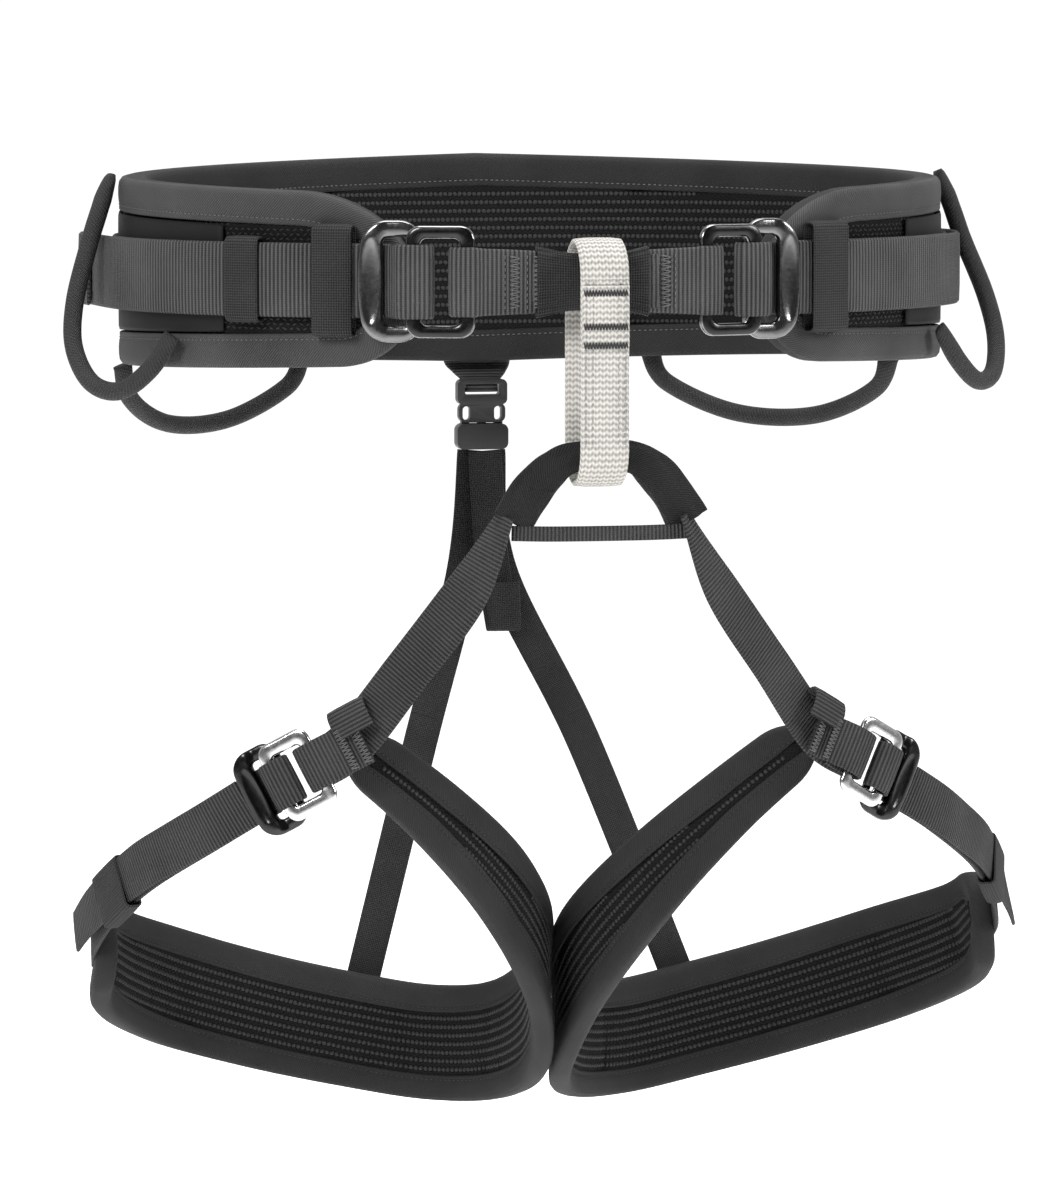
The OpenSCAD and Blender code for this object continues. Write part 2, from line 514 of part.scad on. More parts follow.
// Webbing end folded round the inner bar of the leg buckle's plate and sewn at the junction
module leg_plate_loop(side) {
    fold = [[-38, 0, 3.4], [-32, 0, 4], [-26, 0, 8], [-20, 0, 10.4], [-13, 0, 9.8], [-10.4, 0, 6.4],
        [-12.4, 0, 3], [-19, 0, 1.6], [-26, 0, 2.2]];
    c = curve([for (p = fold) leg_buckle_pt(p)], 4);
    across = cross(buckle_z, buckle_x);
    mirror([side < 0 ? 1 : 0, 0, 0])
        strap(c, [for (t = along(c)) cross(across, t)], leg_webbing_width - 0.6, 1.8);
}
module right_leg_plate_loop() color(black) leg_plate_loop(1);
module left_leg_plate_loop() color(black) leg_plate_loop(-1);

// Bridge that joins the leg loops through the belay loop, and the thin band below it
bridge_half = [[36.4, -131.5, -97], [29.5, -132, -85.6], [21, -133, -76], [11, -134, -70.6]];
bridge_widths = [17, 16.5, 15, 12.4, 12.4, 15, 16.5, 17];
module leg_bridge() color(black) {
    p = concat(bridge_half, [for (q = rev(bridge_half)) [-q[0], q[1], q[2]]]);
    c = curve([for (q = p) q + front_shift], 5);
    strap(c, [for (q = c) [0, -1, 0]], [for (q = curve([for (w = bridge_widths) [w]], 5)) q[0]], 6);
}
module leg_bridge_band() color(charcoal) {
    band = [[-37, -134, -101], [-18, -134.5, -101.5], [18, -134.5, -101.5], [37, -134, -101]];
    c = curve([for (q = band) q + front_shift], 6);
    strap(c, [for (q = c) [0, -1, 0]], 6, 1.8);
}

belt_foam();
belt_lining();
belt_outer_panel();
belt_binding();
right_side_patch();
left_side_patch();
waist_webbing();
right_waist_tail();
left_waist_tail();
right_keeper();
left_front_keeper();
left_rear_keeper();
tie_in_strap();
tie_in_sleeve();
right_waist_buckle_plate();
left_waist_buckle_plate();
right_waist_buckle_frame();
left_waist_buckle_frame();
right_front_gear_loop();
left_front_gear_loop();
right_rear_gear_loop();
left_rear_gear_loop();
belay_loop();
rear_tab();
rear_buckle_plug();
rear_buckle_socket();
riser_tail();
right_upper_riser();
left_upper_riser();
right_lower_riser();
left_lower_riser();
right_leg_pad();
left_leg_pad();
right_leg_binding();
left_leg_binding();
right_leg_front_webbing();
left_leg_front_webbing();
right_leg_plate_loop();
left_leg_plate_loop();
right_leg_buckle_plate();
left_leg_buckle_plate();
right_leg_buckle_frame();
left_leg_buckle_frame();
right_leg_adjust_webbing();
left_leg_adjust_webbing();
right_leg_strap_tail();
left_leg_strap_tail();
right_leg_keeper();
left_leg_keeper();
leg_bridge();
leg_bridge_band();
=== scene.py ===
# %% [markdown]
# # A climbing sit harness
# The CAD model says where every strap, pad and buckle is. This script loads it as a fixed frame and
# builds the cloth, webbing and metal round it, one kind of piece at a time. Right and left in the names are
# as seen from the front.

# %% Load the frame
import math

import bmesh
import bpy
import numpy as np
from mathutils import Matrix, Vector
from mathutils.bvhtree import BVHTree


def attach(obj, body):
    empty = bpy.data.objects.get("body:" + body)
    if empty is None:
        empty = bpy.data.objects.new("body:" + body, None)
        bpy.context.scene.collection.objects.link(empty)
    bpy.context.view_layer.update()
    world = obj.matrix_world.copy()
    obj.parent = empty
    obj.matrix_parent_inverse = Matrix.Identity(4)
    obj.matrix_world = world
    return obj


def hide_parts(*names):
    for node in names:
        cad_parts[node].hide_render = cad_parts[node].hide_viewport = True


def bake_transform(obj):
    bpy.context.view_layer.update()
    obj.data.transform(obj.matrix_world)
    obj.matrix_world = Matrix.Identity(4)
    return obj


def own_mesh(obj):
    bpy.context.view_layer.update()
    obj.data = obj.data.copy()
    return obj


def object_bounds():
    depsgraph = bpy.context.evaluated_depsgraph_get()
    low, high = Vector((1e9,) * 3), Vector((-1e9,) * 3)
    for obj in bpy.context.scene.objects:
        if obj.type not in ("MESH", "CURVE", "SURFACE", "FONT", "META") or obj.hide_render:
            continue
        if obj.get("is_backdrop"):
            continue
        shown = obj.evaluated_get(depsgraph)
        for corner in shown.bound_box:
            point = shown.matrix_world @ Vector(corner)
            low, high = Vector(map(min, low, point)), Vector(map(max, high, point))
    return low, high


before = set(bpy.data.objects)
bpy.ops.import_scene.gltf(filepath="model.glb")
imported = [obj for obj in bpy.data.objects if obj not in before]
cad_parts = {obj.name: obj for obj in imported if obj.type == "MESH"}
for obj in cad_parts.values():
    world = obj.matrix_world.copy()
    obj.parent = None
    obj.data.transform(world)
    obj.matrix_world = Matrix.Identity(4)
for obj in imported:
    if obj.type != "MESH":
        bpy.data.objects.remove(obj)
cad_box = [list(corner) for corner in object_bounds()]
MM = 0.001
print("CAD box", cad_box)

# %% [markdown]
# ## Camera
# A long lens far away keeps the straps nearly parallel, as in a catalogue view. The camera looks slightly
# down and from a little to the wearer's right, so the back of the belt shows above its front.

# %% Camera
def placed(name, data):
    """A new object with this data, linked into the scene."""
    piece = bpy.data.objects.new(name, data)
    bpy.context.scene.collection.objects.link(piece)
    return piece


SENSOR, FRAME_TALL = 36, 504.0
AIM = Vector((-7.25, -10.9, -138.9)) * MM
AZIMUTH, ELEVATION, DISTANCE = math.radians(-12), math.radians(5), 3.0
towards = Vector((math.sin(AZIMUTH) * math.cos(ELEVATION), -math.cos(AZIMUTH) * math.cos(ELEVATION),
                  math.sin(ELEVATION)))
camera = placed("camera", bpy.data.cameras.new("camera"))
camera.location = AIM + towards * DISTANCE
camera.rotation_mode = "QUATERNION"
camera.rotation_quaternion = (-towards).to_track_quat("-Z", "Y")
camera.data.sensor_width = SENSOR
camera.data.lens = SENSOR * DISTANCE / (FRAME_TALL * MM)
camera.data.clip_start, camera.data.clip_end = 0.1, 30
bpy.context.scene.camera = camera
print("lens", round(camera.data.lens, 1), "mm")

# %% [markdown]
# ## Curves
# Straps and bindings follow a few given points. A Catmull-Rom curve passes through every point, which
# makes it easier to place than a Bezier curve with handles.

# %% Curve helpers
def unit(v):
    v = np.asarray(v, float)
    return v / np.maximum(np.linalg.norm(v, axis=-1, keepdims=True), 1e-12)


def curve(points, n):
    p = np.asarray(points, float)
    if p.ndim == 1:
        p = p[:, None]
    out = []
    for i in range(len(p) - 1):
        a, b, c, d = p[max(i - 1, 0)], p[i], p[i + 1], p[min(i + 2, len(p) - 1)]
        for k in range(n):
            t = k / n
            out.append((2 * b + (c - a) * t + (2 * a - 5 * b + 4 * c - d) * t ** 2
                        + (3 * b - a - 3 * c + d) * t ** 3) / 2)
    out.append(p[-1])
    return np.array(out)


def along(c, closed=False):
    if closed:
        return unit(np.roll(c, -1, 0) - np.roll(c, 1, 0))
    t = np.empty_like(c)
    t[1:-1] = c[2:] - c[:-2]
    t[0], t[-1] = c[1] - c[0], c[-1] - c[-2]
    return unit(t)


def run_length(c):
    return np.concatenate([[0], np.cumsum(np.linalg.norm(np.diff(c, axis=0), axis=1))])


def sample(at, s, v):
    """The values v, known at the lengths s, read at the lengths at."""
    v = np.asarray(v, float).reshape(len(s), -1)
    return np.stack([np.interp(at, s, v[:, k]) for k in range(v.shape[1])], -1)


def even(c, step, *others):
    """The path c, and any other values along it, at even steps."""
    s = run_length(c)
    at = np.linspace(0, s[-1], max(int(round(s[-1] / step)), 2) + 1)
    return [sample(at, s, v) for v in (c, *others)]


def square_to(n, t):
    return unit(n - np.sum(n * t, -1, keepdims=True) * t)


print("a curve through 3 points has", len(curve([[0, 0], [1, 1], [2, 0]], 8)), "points")

# %% [markdown]
# ## The belt's own coordinates
# The belt is an ellipse seen from above. A point on it is given by the distance round it from the front, the
# height, and the distance out from the middle of the padding, so a strap that runs round the waist is a
# straight line in these numbers.

# %% Belt coordinates, in millimetres
WIDE, DEEP = 168.0, 118.0
BACK_HIGH, FRONT_HIGH = 88.0, 66.0
PAD_START, NOSE_Z, NOSE_TOP, NOSE_LOW = 72.0, -4.0, 48.0, 30.0
HALF_PAD = 5.0
angles = np.linspace(0, 180, 721)
ellipse = lambda a: np.stack([WIDE * np.sin(np.radians(a)), -DEEP * np.cos(np.radians(a))], -1)
arc = run_length(ellipse(angles))
HALF = arc[-1]


def belt_angle(s):
    s = np.asarray(s, float)
    return np.where(s < 0, -np.interp(-s, arc, angles),
                    np.where(s > HALF, 360 - np.interp(2 * HALF - s, arc, angles), np.interp(s, arc, angles)))


def out_at(s):
    a = np.radians(belt_angle(s))
    return unit(np.stack([DEEP * np.sin(a), -WIDE * np.cos(a), 0 * a], -1))


def belt_pt(s, z, r):
    p = ellipse(belt_angle(s))
    z, r = np.broadcast_to(z, p.shape[:-1]), np.broadcast_to(r, p.shape[:-1])
    return np.concatenate([p, z[..., None]], -1) + r[..., None] * out_at(s)


def round_in(e, r):
    return np.sqrt(np.clip(1 - np.clip(1 - np.asarray(e, float) / r, 0, 1) ** 2, 0, 1))


def pad_half(s):
    run = np.minimum(s, 2 * HALF - s) - PAD_START
    return (FRONT_HIGH + (BACK_HIGH - FRONT_HIGH) * run / (HALF - PAD_START)) / 2


def pad_edge(s, up):
    run = np.minimum(s, 2 * HALF - s) - PAD_START
    if up:
        return NOSE_Z + (pad_half(s) - NOSE_Z) * round_in(run, NOSE_TOP)
    return NOSE_Z - (pad_half(s) + NOSE_Z) * round_in(run, NOSE_LOW)


print("belt round the middle of its padding:", round(2 * HALF), "mm")

# %% [markdown]
# ## Turning rings into a mesh
# Every strap, tube and binding is a row of rings joined by four-sided faces. The UV map is in metres along
# and across the piece, so a weave drawn on it keeps its real size.

# %% Mesh from rings
def ring_mesh(name, rings, closed=False, mirror=False):
    """rings: millimetres, shape (count, points, 3), each listed anticlockwise about the direction of travel."""
    name, rings = name.replace(" ", "_"), np.asarray(rings, float)
    n, m, _ = rings.shape
    rows = n if closed else n - 1
    i, j = np.meshgrid(np.arange(rows), np.arange(m), indexing="ij")
    i2, j2 = (i + 1) % n, (j + 1) % m
    quads = np.stack([i * m + j, i * m + j2, i2 * m + j2, i2 * m + j], -1).reshape(-1, 4)
    middle = rings.mean(1)
    u = run_length(np.vstack([middle, middle[:1]]) if closed else middle)
    wide = np.linalg.norm(np.roll(rings, -1, 1) - rings, axis=2).mean(0)
    v = np.concatenate([[0], np.cumsum(wide)])
    uv = np.stack([np.stack([u[i], v[j]], -1), np.stack([u[i], v[j + 1]], -1),
                   np.stack([u[i + 1], v[j + 1]], -1), np.stack([u[i + 1], v[j]], -1)], 2).reshape(-1, 2) * MM
    faces = quads.tolist()
    if not closed:
        faces += [list(range(m - 1, -1, -1)), [(n - 1) * m + k for k in range(m)]]
        cap = rings[0] - rings[0].mean(0)
        size = np.linalg.norm(cap, axis=1).max() * MM
        turn = np.arange(m) * 2 * np.pi / m
        flat = size * np.stack([np.cos(turn), np.sin(turn)], -1)
        uv = np.vstack([uv, flat[::-1], flat])
    points = rings.reshape(-1, 3) * MM
    if mirror:
        points = points * [-1, 1, 1]
        faces = [f[::-1] for f in faces]
        loops, k = [], 0
        for f in faces:
            loops += list(range(k + len(f) - 1, k - 1, -1))
            k += len(f)
        uv = uv[loops]
    mesh = bpy.data.meshes.new(name)
    mesh.from_pydata(points.tolist(), [], faces)
    mesh.uv_layers.new(name="UVMap").data.foreach_set("uv", uv.astype(np.float32).ravel())
    mesh.shade_smooth()
    return placed(name, mesh)


def strap_rings(c, face, width, thick, rib, pitch):
    """A flat strap with rounded selvedges. rib: how far its cross ribs stand up, pitch: their spacing."""
    t = along(c)
    m = square_to(np.asarray(face, float), t)
    b = np.cross(t, m)
    w = np.broadcast_to(np.asarray(width, float).reshape(-1), (len(c),))[:, None, None] / 2
    s = run_length(c)
    wave = rib * (np.abs(np.sin(np.pi * s / pitch)) - 0.5)
    h = (thick / 2 + wave)[:, None, None]
    steps = np.array([-1, -0.94, -0.5, 0, 0.5, 0.94, 1])
    top = np.array([0.0, 0.8, 1.0, 1.0, 1.0, 0.8, 0.0])
    across = np.concatenate([steps, steps[-2:0:-1]])
    height = np.concatenate([top, -top[-2:0:-1]])
    return c[:, None] + w * across[None, :, None] * b[:, None] + h * height[None, :, None] * m[:, None]


def strap(name, c, face, width, thick, rib=0.10, pitch=1.8, step=None, mirror=False):
    """A webbing strap along the millimetre points c, its outer face towards the directions in face."""
    width = np.broadcast_to(np.asarray(width, float).reshape(-1), (len(c),))
    c, face, width = even(np.asarray(c, float), step or pitch / 4, face, width)
    return ring_mesh(name, strap_rings(c, face, width[:, 0], thick, rib, pitch), mirror=mirror)


def tube(name, c, normal, wide, thick, sides, mirror=False):
    """A round or oval tube along the millimetre points c."""
    t = along(c)
    m = square_to(np.broadcast_to(np.asarray(normal, float), c.shape), t)
    b = np.cross(t, m)
    a = np.arange(sides) * 2 * np.pi / sides
    scale = lambda v: np.broadcast_to(np.asarray(v, float).reshape(-1), (len(c),))[:, None, None] / 2
    rings = c[:, None] + scale(thick) * np.cos(a)[None, :, None] * m[:, None] \
        + scale(wide) * np.sin(a)[None, :, None] * b[:, None]
    return ring_mesh(name, rings, mirror=mirror)


print("helpers ready")

# %% [markdown]
# ## Materials: a small language for shader maths
# Woven cloth is arithmetic on the UV map: sines for ribs, products of sines for diamonds. Writing it as
# Python expressions is shorter and clearer than linking Math nodes by hand, so one small class wraps a
# socket and overloads the operators.

# %% Shader helper
class Num:
    """A number that varies over a surface."""

    def __init__(self, finish, socket):
        self.finish, self.socket = finish, socket

    def math(self, operation, *others):
        node = self.finish.tree.nodes.new("ShaderNodeMath")
        node.operation = operation
        for k, value in enumerate((self, *others)):
            self.finish.put(node.inputs[k], value)
        return Num(self.finish, node.outputs[0])

    def __add__(self, o): return self.math("ADD", o)
    __radd__ = __add__
    def __sub__(self, o): return self.math("SUBTRACT", o)
    def __rsub__(self, o): return (self * -1.0) + o
    def __mul__(self, o): return self.math("MULTIPLY", o)
    __rmul__ = __mul__
    def __pow__(self, o): return self.math("POWER", o)
    def sin(self): return self.math("SINE")
    def abs(self): return self.math("ABSOLUTE")
    def clamp(self): return self.math("MAXIMUM", 0.0).math("MINIMUM", 1.0)


class Finish:
    """A material with one Principled shader and helpers for its nodes."""

    def __init__(self, name, **fixed):
        self.material = bpy.data.materials.new(name)
        self.material.use_nodes = True
        self.tree = self.material.node_tree
        self.shader = self.tree.nodes["Principled BSDF"]
        for socket, value in fixed.items():
            self.shader.inputs[socket.replace("_", " ")].default_value = value

    def put(self, socket, value):
        if isinstance(value, Num):
            self.tree.links.new(value.socket, socket)
        elif isinstance(value, bpy.types.NodeSocket):
            self.tree.links.new(value, socket)
        elif isinstance(value, tuple) and len(value) == 3 and socket.type == "RGBA":
            socket.default_value = (*value, 1.0)
        else:
            socket.default_value = value

    def node(self, kind, **inputs):
        node = self.tree.nodes.new(kind)
        for key, value in inputs.items():
            self.put(node.inputs[key], value)
        return node

    def uv(self):
        split = self.node("ShaderNodeSeparateXYZ", Vector=self.node("ShaderNodeUVMap").outputs["UV"])
        return Num(self, split.outputs[0]), Num(self, split.outputs[1])

    def place(self):
        return self.node("ShaderNodeTexCoord").outputs["Object"]

    def noise(self, scale, detail):
        n = self.node("ShaderNodeTexNoise", Vector=self.place(), Scale=scale, Detail=detail)
        return Num(self, n.outputs["Fac"])

    def mix(self, factor, dark, light):
        node = self.tree.nodes.new("ShaderNodeMix")
        node.data_type = "RGBA"
        self.put(node.inputs["Factor"], factor)
        self.put(node.inputs["A"], dark)
        self.put(node.inputs["B"], light)
        return node.outputs["Result"]

    def bump(self, height, distance):
        node = self.node("ShaderNodeBump", Height=height, Distance=distance, Strength=1.0)
        self.put(self.shader.inputs["Normal"], node.outputs["Normal"])

    def done(self, colour, roughness):
        self.put(self.shader.inputs["Base Color"], colour)
        self.put(self.shader.inputs["Roughness"], roughness)
        return self.material


def turns(value, pitch):
    """A wave from -1 to 1 with that spacing in metres."""
    return (value * (2 * math.pi / pitch)).sin()


def grey(level):
    return (level, level, level)


print("shader helper ready")

# %% [markdown]
# ## Cloth finishes
# Harness webbing has deep cross ribs with finer threads along them. Binding is a twill, so it gets fine
# diagonal lines. Elastic is woven in small diamonds. Each finish darkens its own grooves, because light
# doesn't reach the bottom of a weave, and a large soft noise keeps a long strap from looking printed.

# %% Webbing, twill and elastic
def webbing_finish(name, low, high, pitch=1.8):
    f = Finish(name, Specular_IOR_Level=0.14)
    u, v = f.uv()
    rib = turns(u, 2 * pitch * MM).abs()
    thread = turns(v + turns(u, pitch * MM) * 0.00012, 0.9 * MM) * 0.5 + 0.5
    cloud = f.noise(34, 3)
    height = rib ** 1.6 * 0.8 + thread * 0.2
    f.bump(height, 0.0005)
    shade = (height * 0.9 + cloud * 0.5 - 0.22).clamp()
    return f.done(f.mix(shade, grey(low), grey(high)), 0.8 - cloud * 0.18)


def twill_finish(name, low, high, pitch=1.1, coarse=1.0):
    f = Finish(name, Specular_IOR_Level=0.14)
    u, v = f.uv()
    line = turns(u + v * 0.8, pitch * MM) * 0.5 + 0.5
    cross = turns(u, 0.55 * MM) * 0.5 + 0.5
    cloud = f.noise(28, 3)
    height = line * 0.75 + cross * 0.25
    f.bump(height, 0.0002 * coarse)
    return f.done(f.mix((height * 0.7 + cloud * 0.6 - 0.15).clamp(), grey(low), grey(high)), 0.84 - cloud * 0.15)


def elastic_finish(name, low, high, pitch=2.1):
    f = Finish(name, Specular_IOR_Level=0.14)
    u, v = f.uv()
    diamond = (turns(u + v, pitch * MM) * turns(u - v, pitch * MM)) * 0.5 + 0.5
    cloud = f.noise(45, 2)
    f.bump(diamond, 0.0004)
    return f.done(f.mix((diamond * 0.9 + cloud * 0.4 - 0.2).clamp(), grey(low), grey(high)), 0.82)


webbing_black = webbing_finish("ribbed webbing", 0.002, 0.058)
webbing_leg = webbing_finish("leg webbing", 0.002, 0.038, pitch=1.6)
binding_cloth = twill_finish("twill binding", 0.008, 0.048)
# A darker copy of the binding twill for the binding's inside face, towards the wearer: painted shade.
inner_binding_shade_cloth = twill_finish("inner binding painted shade", 0.003, 0.015, coarse=0.7)
leg_binding_cloth = twill_finish("leg binding", 0.004, 0.016, coarse=0.8)
elastic_cloth = elastic_finish("diamond elastic", 0.001, 0.030)
riser_cloth = elastic_finish("riser elastic", 0.001, 0.028, pitch=1.6)
sleeve_cloth = twill_finish("bridge sleeve", 0.001, 0.014, coarse=1.4)
print("cloth finishes:", [m.name for m in bpy.data.materials if m.users == 0])

# %% [markdown]
# ## Padding, sheath, belay webbing and thread
# The padding is faced with a knitted spacer mesh, which scatters light, so it is the darkest and roughest
# cloth. The belay loop is the one light strap: its weave runs in small chevrons, with painted shade in its
# gaps. The knit and the sheath's braid are also darker where their bumps are low, as painted shade.

# %% Padding, sheath and belay finishes
def knit_finish(name, low, high, cell=2.6):
    f = Finish(name, Specular_IOR_Level=0.1)
    u, v = f.uv()
    knit = (turns(u, cell * MM) * turns(v, cell * 0.7 * MM)) * 0.5 + 0.5
    cloud = f.noise(60, 4)
    f.bump(knit * 0.7 + cloud * 0.3, 0.0004)
    # Darker where the knit is low: painted shade in its hollows.
    return f.done(f.mix((knit * 0.6 + cloud * 0.4).clamp(), grey(low), grey(high)), 0.92)


def belay_finish():
    f = Finish("belay webbing", Specular_IOR_Level=0.2)
    u, v = f.uv()
    chevron = turns(u + turns(v, 5.6 * MM).abs() * 0.0008, 2.4 * MM) * 0.5 + 0.5
    wale = turns(v, 1.4 * MM) * 0.5 + 0.5
    cloud = f.noise(40, 3)
    height = chevron * 0.7 + wale * 0.3
    f.bump(height, 0.0003)
    # Darker where the weave is low: painted shade in its gaps.
    shade = (height * 0.9 + cloud * 0.5 - 0.1).clamp()
    return f.done(f.mix(shade, (0.10, 0.096, 0.088), (0.36, 0.348, 0.325)), 0.8)


def sheath_finish():
    f = Finish("gear loop sheath", Specular_IOR_Level=0.2)
    u, v = f.uv()
    braid = (turns(u + v * 0.6, 1.5 * MM) * turns(v, 1.3 * MM)) * 0.5 + 0.5
    cloud = f.noise(40, 2)
    f.bump(braid, 0.0003)
    # Darker where the braid is low: painted shade in its hollows.
    return f.done(f.mix((braid * 0.8 + cloud * 0.5 - 0.15).clamp(), grey(0.002), grey(0.022)), 0.7)


def thread_finish(name, low, high):
    f = Finish(name, Specular_IOR_Level=0.2)
    cloud = f.noise(900, 2)
    f.bump(cloud, 0.00005)
    return f.done(f.mix(cloud, grey(low), grey(high)), 0.6)


def patch_finish():
    f = Finish("coated patch", Specular_IOR_Level=0.1)
    cloud, grain = f.noise(24, 3), f.noise(1400, 2)
    f.bump(grain, 0.00004)
    return f.done(f.mix(cloud, grey(0.002), grey(0.008)), 0.55 + cloud * 0.2)


spacer_mesh = knit_finish("spacer mesh", 0.001, 0.006)
belay_cloth = belay_finish()
sheath = sheath_finish()
thread_grey = thread_finish("grey thread", 0.03, 0.09)
thread_dark = thread_finish("dark thread", 0.010, 0.024)
thread_light = thread_finish("light thread", 0.12, 0.20)
bead_yarn = thread_finish("mesh yarn", 0.006, 0.016)
patch_cloth = patch_finish()

# %% [markdown]
# ## Metal and plastic
# The waist buckles are dark and glossy, the leg buckles' rings are bright steel. Real buckles are tumbled,
# which leaves soft, wavy reflections, and they scratch. The lighter metal on the rows along the waist rings'
# edges is a painted highlight. Moulded plastic is matt with a fine grain.

# %% Metal and plastic finishes
def metal_finish(name, low, high, rough, wave=0.00025):
    f = Finish(name, Metallic=1.0)
    cloud, scuff = f.noise(55, 3), f.noise(700, 4)
    f.bump(cloud * 0.8 + scuff * 0.06, wave)
    return f.done(f.mix(cloud, grey(low), grey(high)), rough + scuff * 0.16)


def plastic_finish():
    f = Finish("moulded plastic", Specular_IOR_Level=0.35)
    grain, cloud = f.noise(1500, 2), f.noise(40, 2)
    f.bump(grain, 0.00003)
    return f.done(f.mix(cloud, grey(0.006), grey(0.012)), 0.40 + grain * 0.12)


bright_steel = metal_finish("bright steel", 0.26, 0.56, 0.10)
dark_steel = metal_finish("dark steel", 0.06, 0.16, 0.10)
black_steel = metal_finish("black steel", 0.015, 0.04, 0.12)
# Lighter metal for the rows along a waist ring's edges: a painted highlight.
rim_highlight_steel = metal_finish("painted rim highlight", 0.06, 0.20, 0.10)
plastic = plastic_finish()
print(len(bpy.data.materials), "materials")

# %% [markdown]
# ## Handing a piece over
# Each piece gets its finish and the body it moves with, and the CAD pieces that it stands for are
# hidden. One helper says all of it, so no piece can miss a part of it.

# %% Finishing helper
def finished(piece, material, body, slot, *stands_for):
    piece.data.materials.clear()
    piece.data.materials.append(material)
    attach(piece, body)
    if stands_for:
        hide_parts(*stands_for)
    return piece


print("finishing helper ready")

# %% [markdown]
# ## Repeated small things: stitches and mesh bumps
# A stitch or a knitted bump is one small rounded grain repeated hundreds of times, so Geometry Nodes place
# it. The points carry two directions, along the thread and out of the cloth, and the tree turns a grain to
# both. Placing them by hand in mesh code would work too, but the tree keeps the grain's size as an input.

# %% Geometry Nodes tree for grains
def grain_tree():
    tree = bpy.data.node_groups.new("grains on points", "GeometryNodeTree")
    face = tree.interface
    face.new_socket("Geometry", in_out="INPUT", socket_type="NodeSocketGeometry")
    for name in ("Length", "Width", "Height"):
        face.new_socket(name, in_out="INPUT", socket_type="NodeSocketFloat")
    face.new_socket("Material", in_out="INPUT", socket_type="NodeSocketMaterial")
    face.new_socket("Geometry", in_out="OUTPUT", socket_type="NodeSocketGeometry")
    new, link = tree.nodes.new, tree.links.new
    given, result = new("NodeGroupInput"), new("NodeGroupOutput")
    ball = new("GeometryNodeMeshIcoSphere")
    ball.inputs["Radius"].default_value = 0.5
    ball.inputs["Subdivisions"].default_value = 1
    size = new("ShaderNodeCombineXYZ")
    for k, name in enumerate(("Length", "Width", "Height")):
        link(given.outputs[name], size.inputs[k])
    directions = []
    for name in ("along", "out"):
        read = new("GeometryNodeInputNamedAttribute")
        read.data_type = "FLOAT_VECTOR"
        read.inputs["Name"].default_value = name
        directions.append(read.outputs["Attribute"])
    turn_x = new("FunctionNodeAlignRotationToVector")
    turn_x.axis = "X"
    link(directions[0], turn_x.inputs["Vector"])
    turn_z = new("FunctionNodeAlignRotationToVector")
    turn_z.axis, turn_z.pivot_axis = "Z", "X"
    link(turn_x.outputs["Rotation"], turn_z.inputs["Rotation"])
    link(directions[1], turn_z.inputs["Vector"])
    copies = new("GeometryNodeInstanceOnPoints")
    link(given.outputs["Geometry"], copies.inputs["Points"])
    link(ball.outputs["Mesh"], copies.inputs["Instance"])
    link(turn_z.outputs["Rotation"], copies.inputs["Rotation"])
    link(size.outputs[0], copies.inputs["Scale"])
    real = new("GeometryNodeRealizeInstances")
    link(copies.outputs["Instances"], real.inputs["Geometry"])
    smooth = new("GeometryNodeSetShadeSmooth")
    link(real.outputs["Geometry"], smooth.inputs["Geometry"])
    paint = new("GeometryNodeSetMaterial")
    link(smooth.outputs["Geometry"], paint.inputs["Geometry"])
    link(given.outputs["Material"], paint.inputs["Material"])
    link(paint.outputs["Geometry"], result.inputs["Geometry"])
    return tree


GRAINS = grain_tree()


def grains(name, points, directions, outs, size, material, body, slot):
    """One mesh of grains. Points in millimetres; size is (length, width, height) in millimetres."""
    name = name.replace(" ", "_")
    mesh = bpy.data.meshes.new(name + ".points")
    mesh.from_pydata((np.asarray(points) * MM).tolist(), [], [])
    for key, values in (("along", directions), ("out", outs)):
        values = np.ascontiguousarray(np.broadcast_to(np.asarray(values, np.float32), (len(points), 3)))
        mesh.attributes.new(key, "FLOAT_VECTOR", "POINT").data.foreach_set("vector", values.ravel())
    holder = placed(name + ".points", mesh)
    modifier = holder.modifiers.new("grains", "NODES")
    modifier.node_group = GRAINS
    ids = {item.name: item.identifier for item in GRAINS.interface.items_tree
           if item.item_type == "SOCKET" and item.in_out == "INPUT"}
    for key, value in zip(("Length", "Width", "Height"), size):
        modifier[ids[key]] = value * MM
    modifier[ids["Material"]] = material
    evaluated = holder.evaluated_get(bpy.context.evaluated_depsgraph_get())
    piece = placed(name, bpy.data.meshes.new_from_object(evaluated))
    bpy.data.objects.remove(holder)
    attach(piece, body)
    return piece


def stitch_line(c, out, pitch=2.8):
    """Points, directions and outward directions of stitches along a path."""
    c, out = even(np.asarray(c, float), pitch, out)
    return c, along(c), unit(out)


def join_lines(lines):
    return [np.vstack([line[k] for line in lines]) for k in range(3)]


def flip(points):
    return np.asarray(points, float) * [-1, 1, 1]


print("grain tree has", len(GRAINS.nodes), "nodes")

# %% [markdown]
# ## Plumping a pad
# Foam under stretched cloth swells between its seams. The quickest honest way to that shape is a short cloth
# simulation with pressure inside: the pad starts a little thin, is remeshed into even cells, blown up for
# twenty frames, and no point may move further than the foam allows.

# %% Cloth simulation helper
def applied(piece):
    """Turns the piece and its modifiers into a plain mesh."""
    evaluated = piece.evaluated_get(bpy.context.evaluated_depsgraph_get())
    piece.data = bpy.data.meshes.new_from_object(evaluated)
    piece.modifiers.clear()


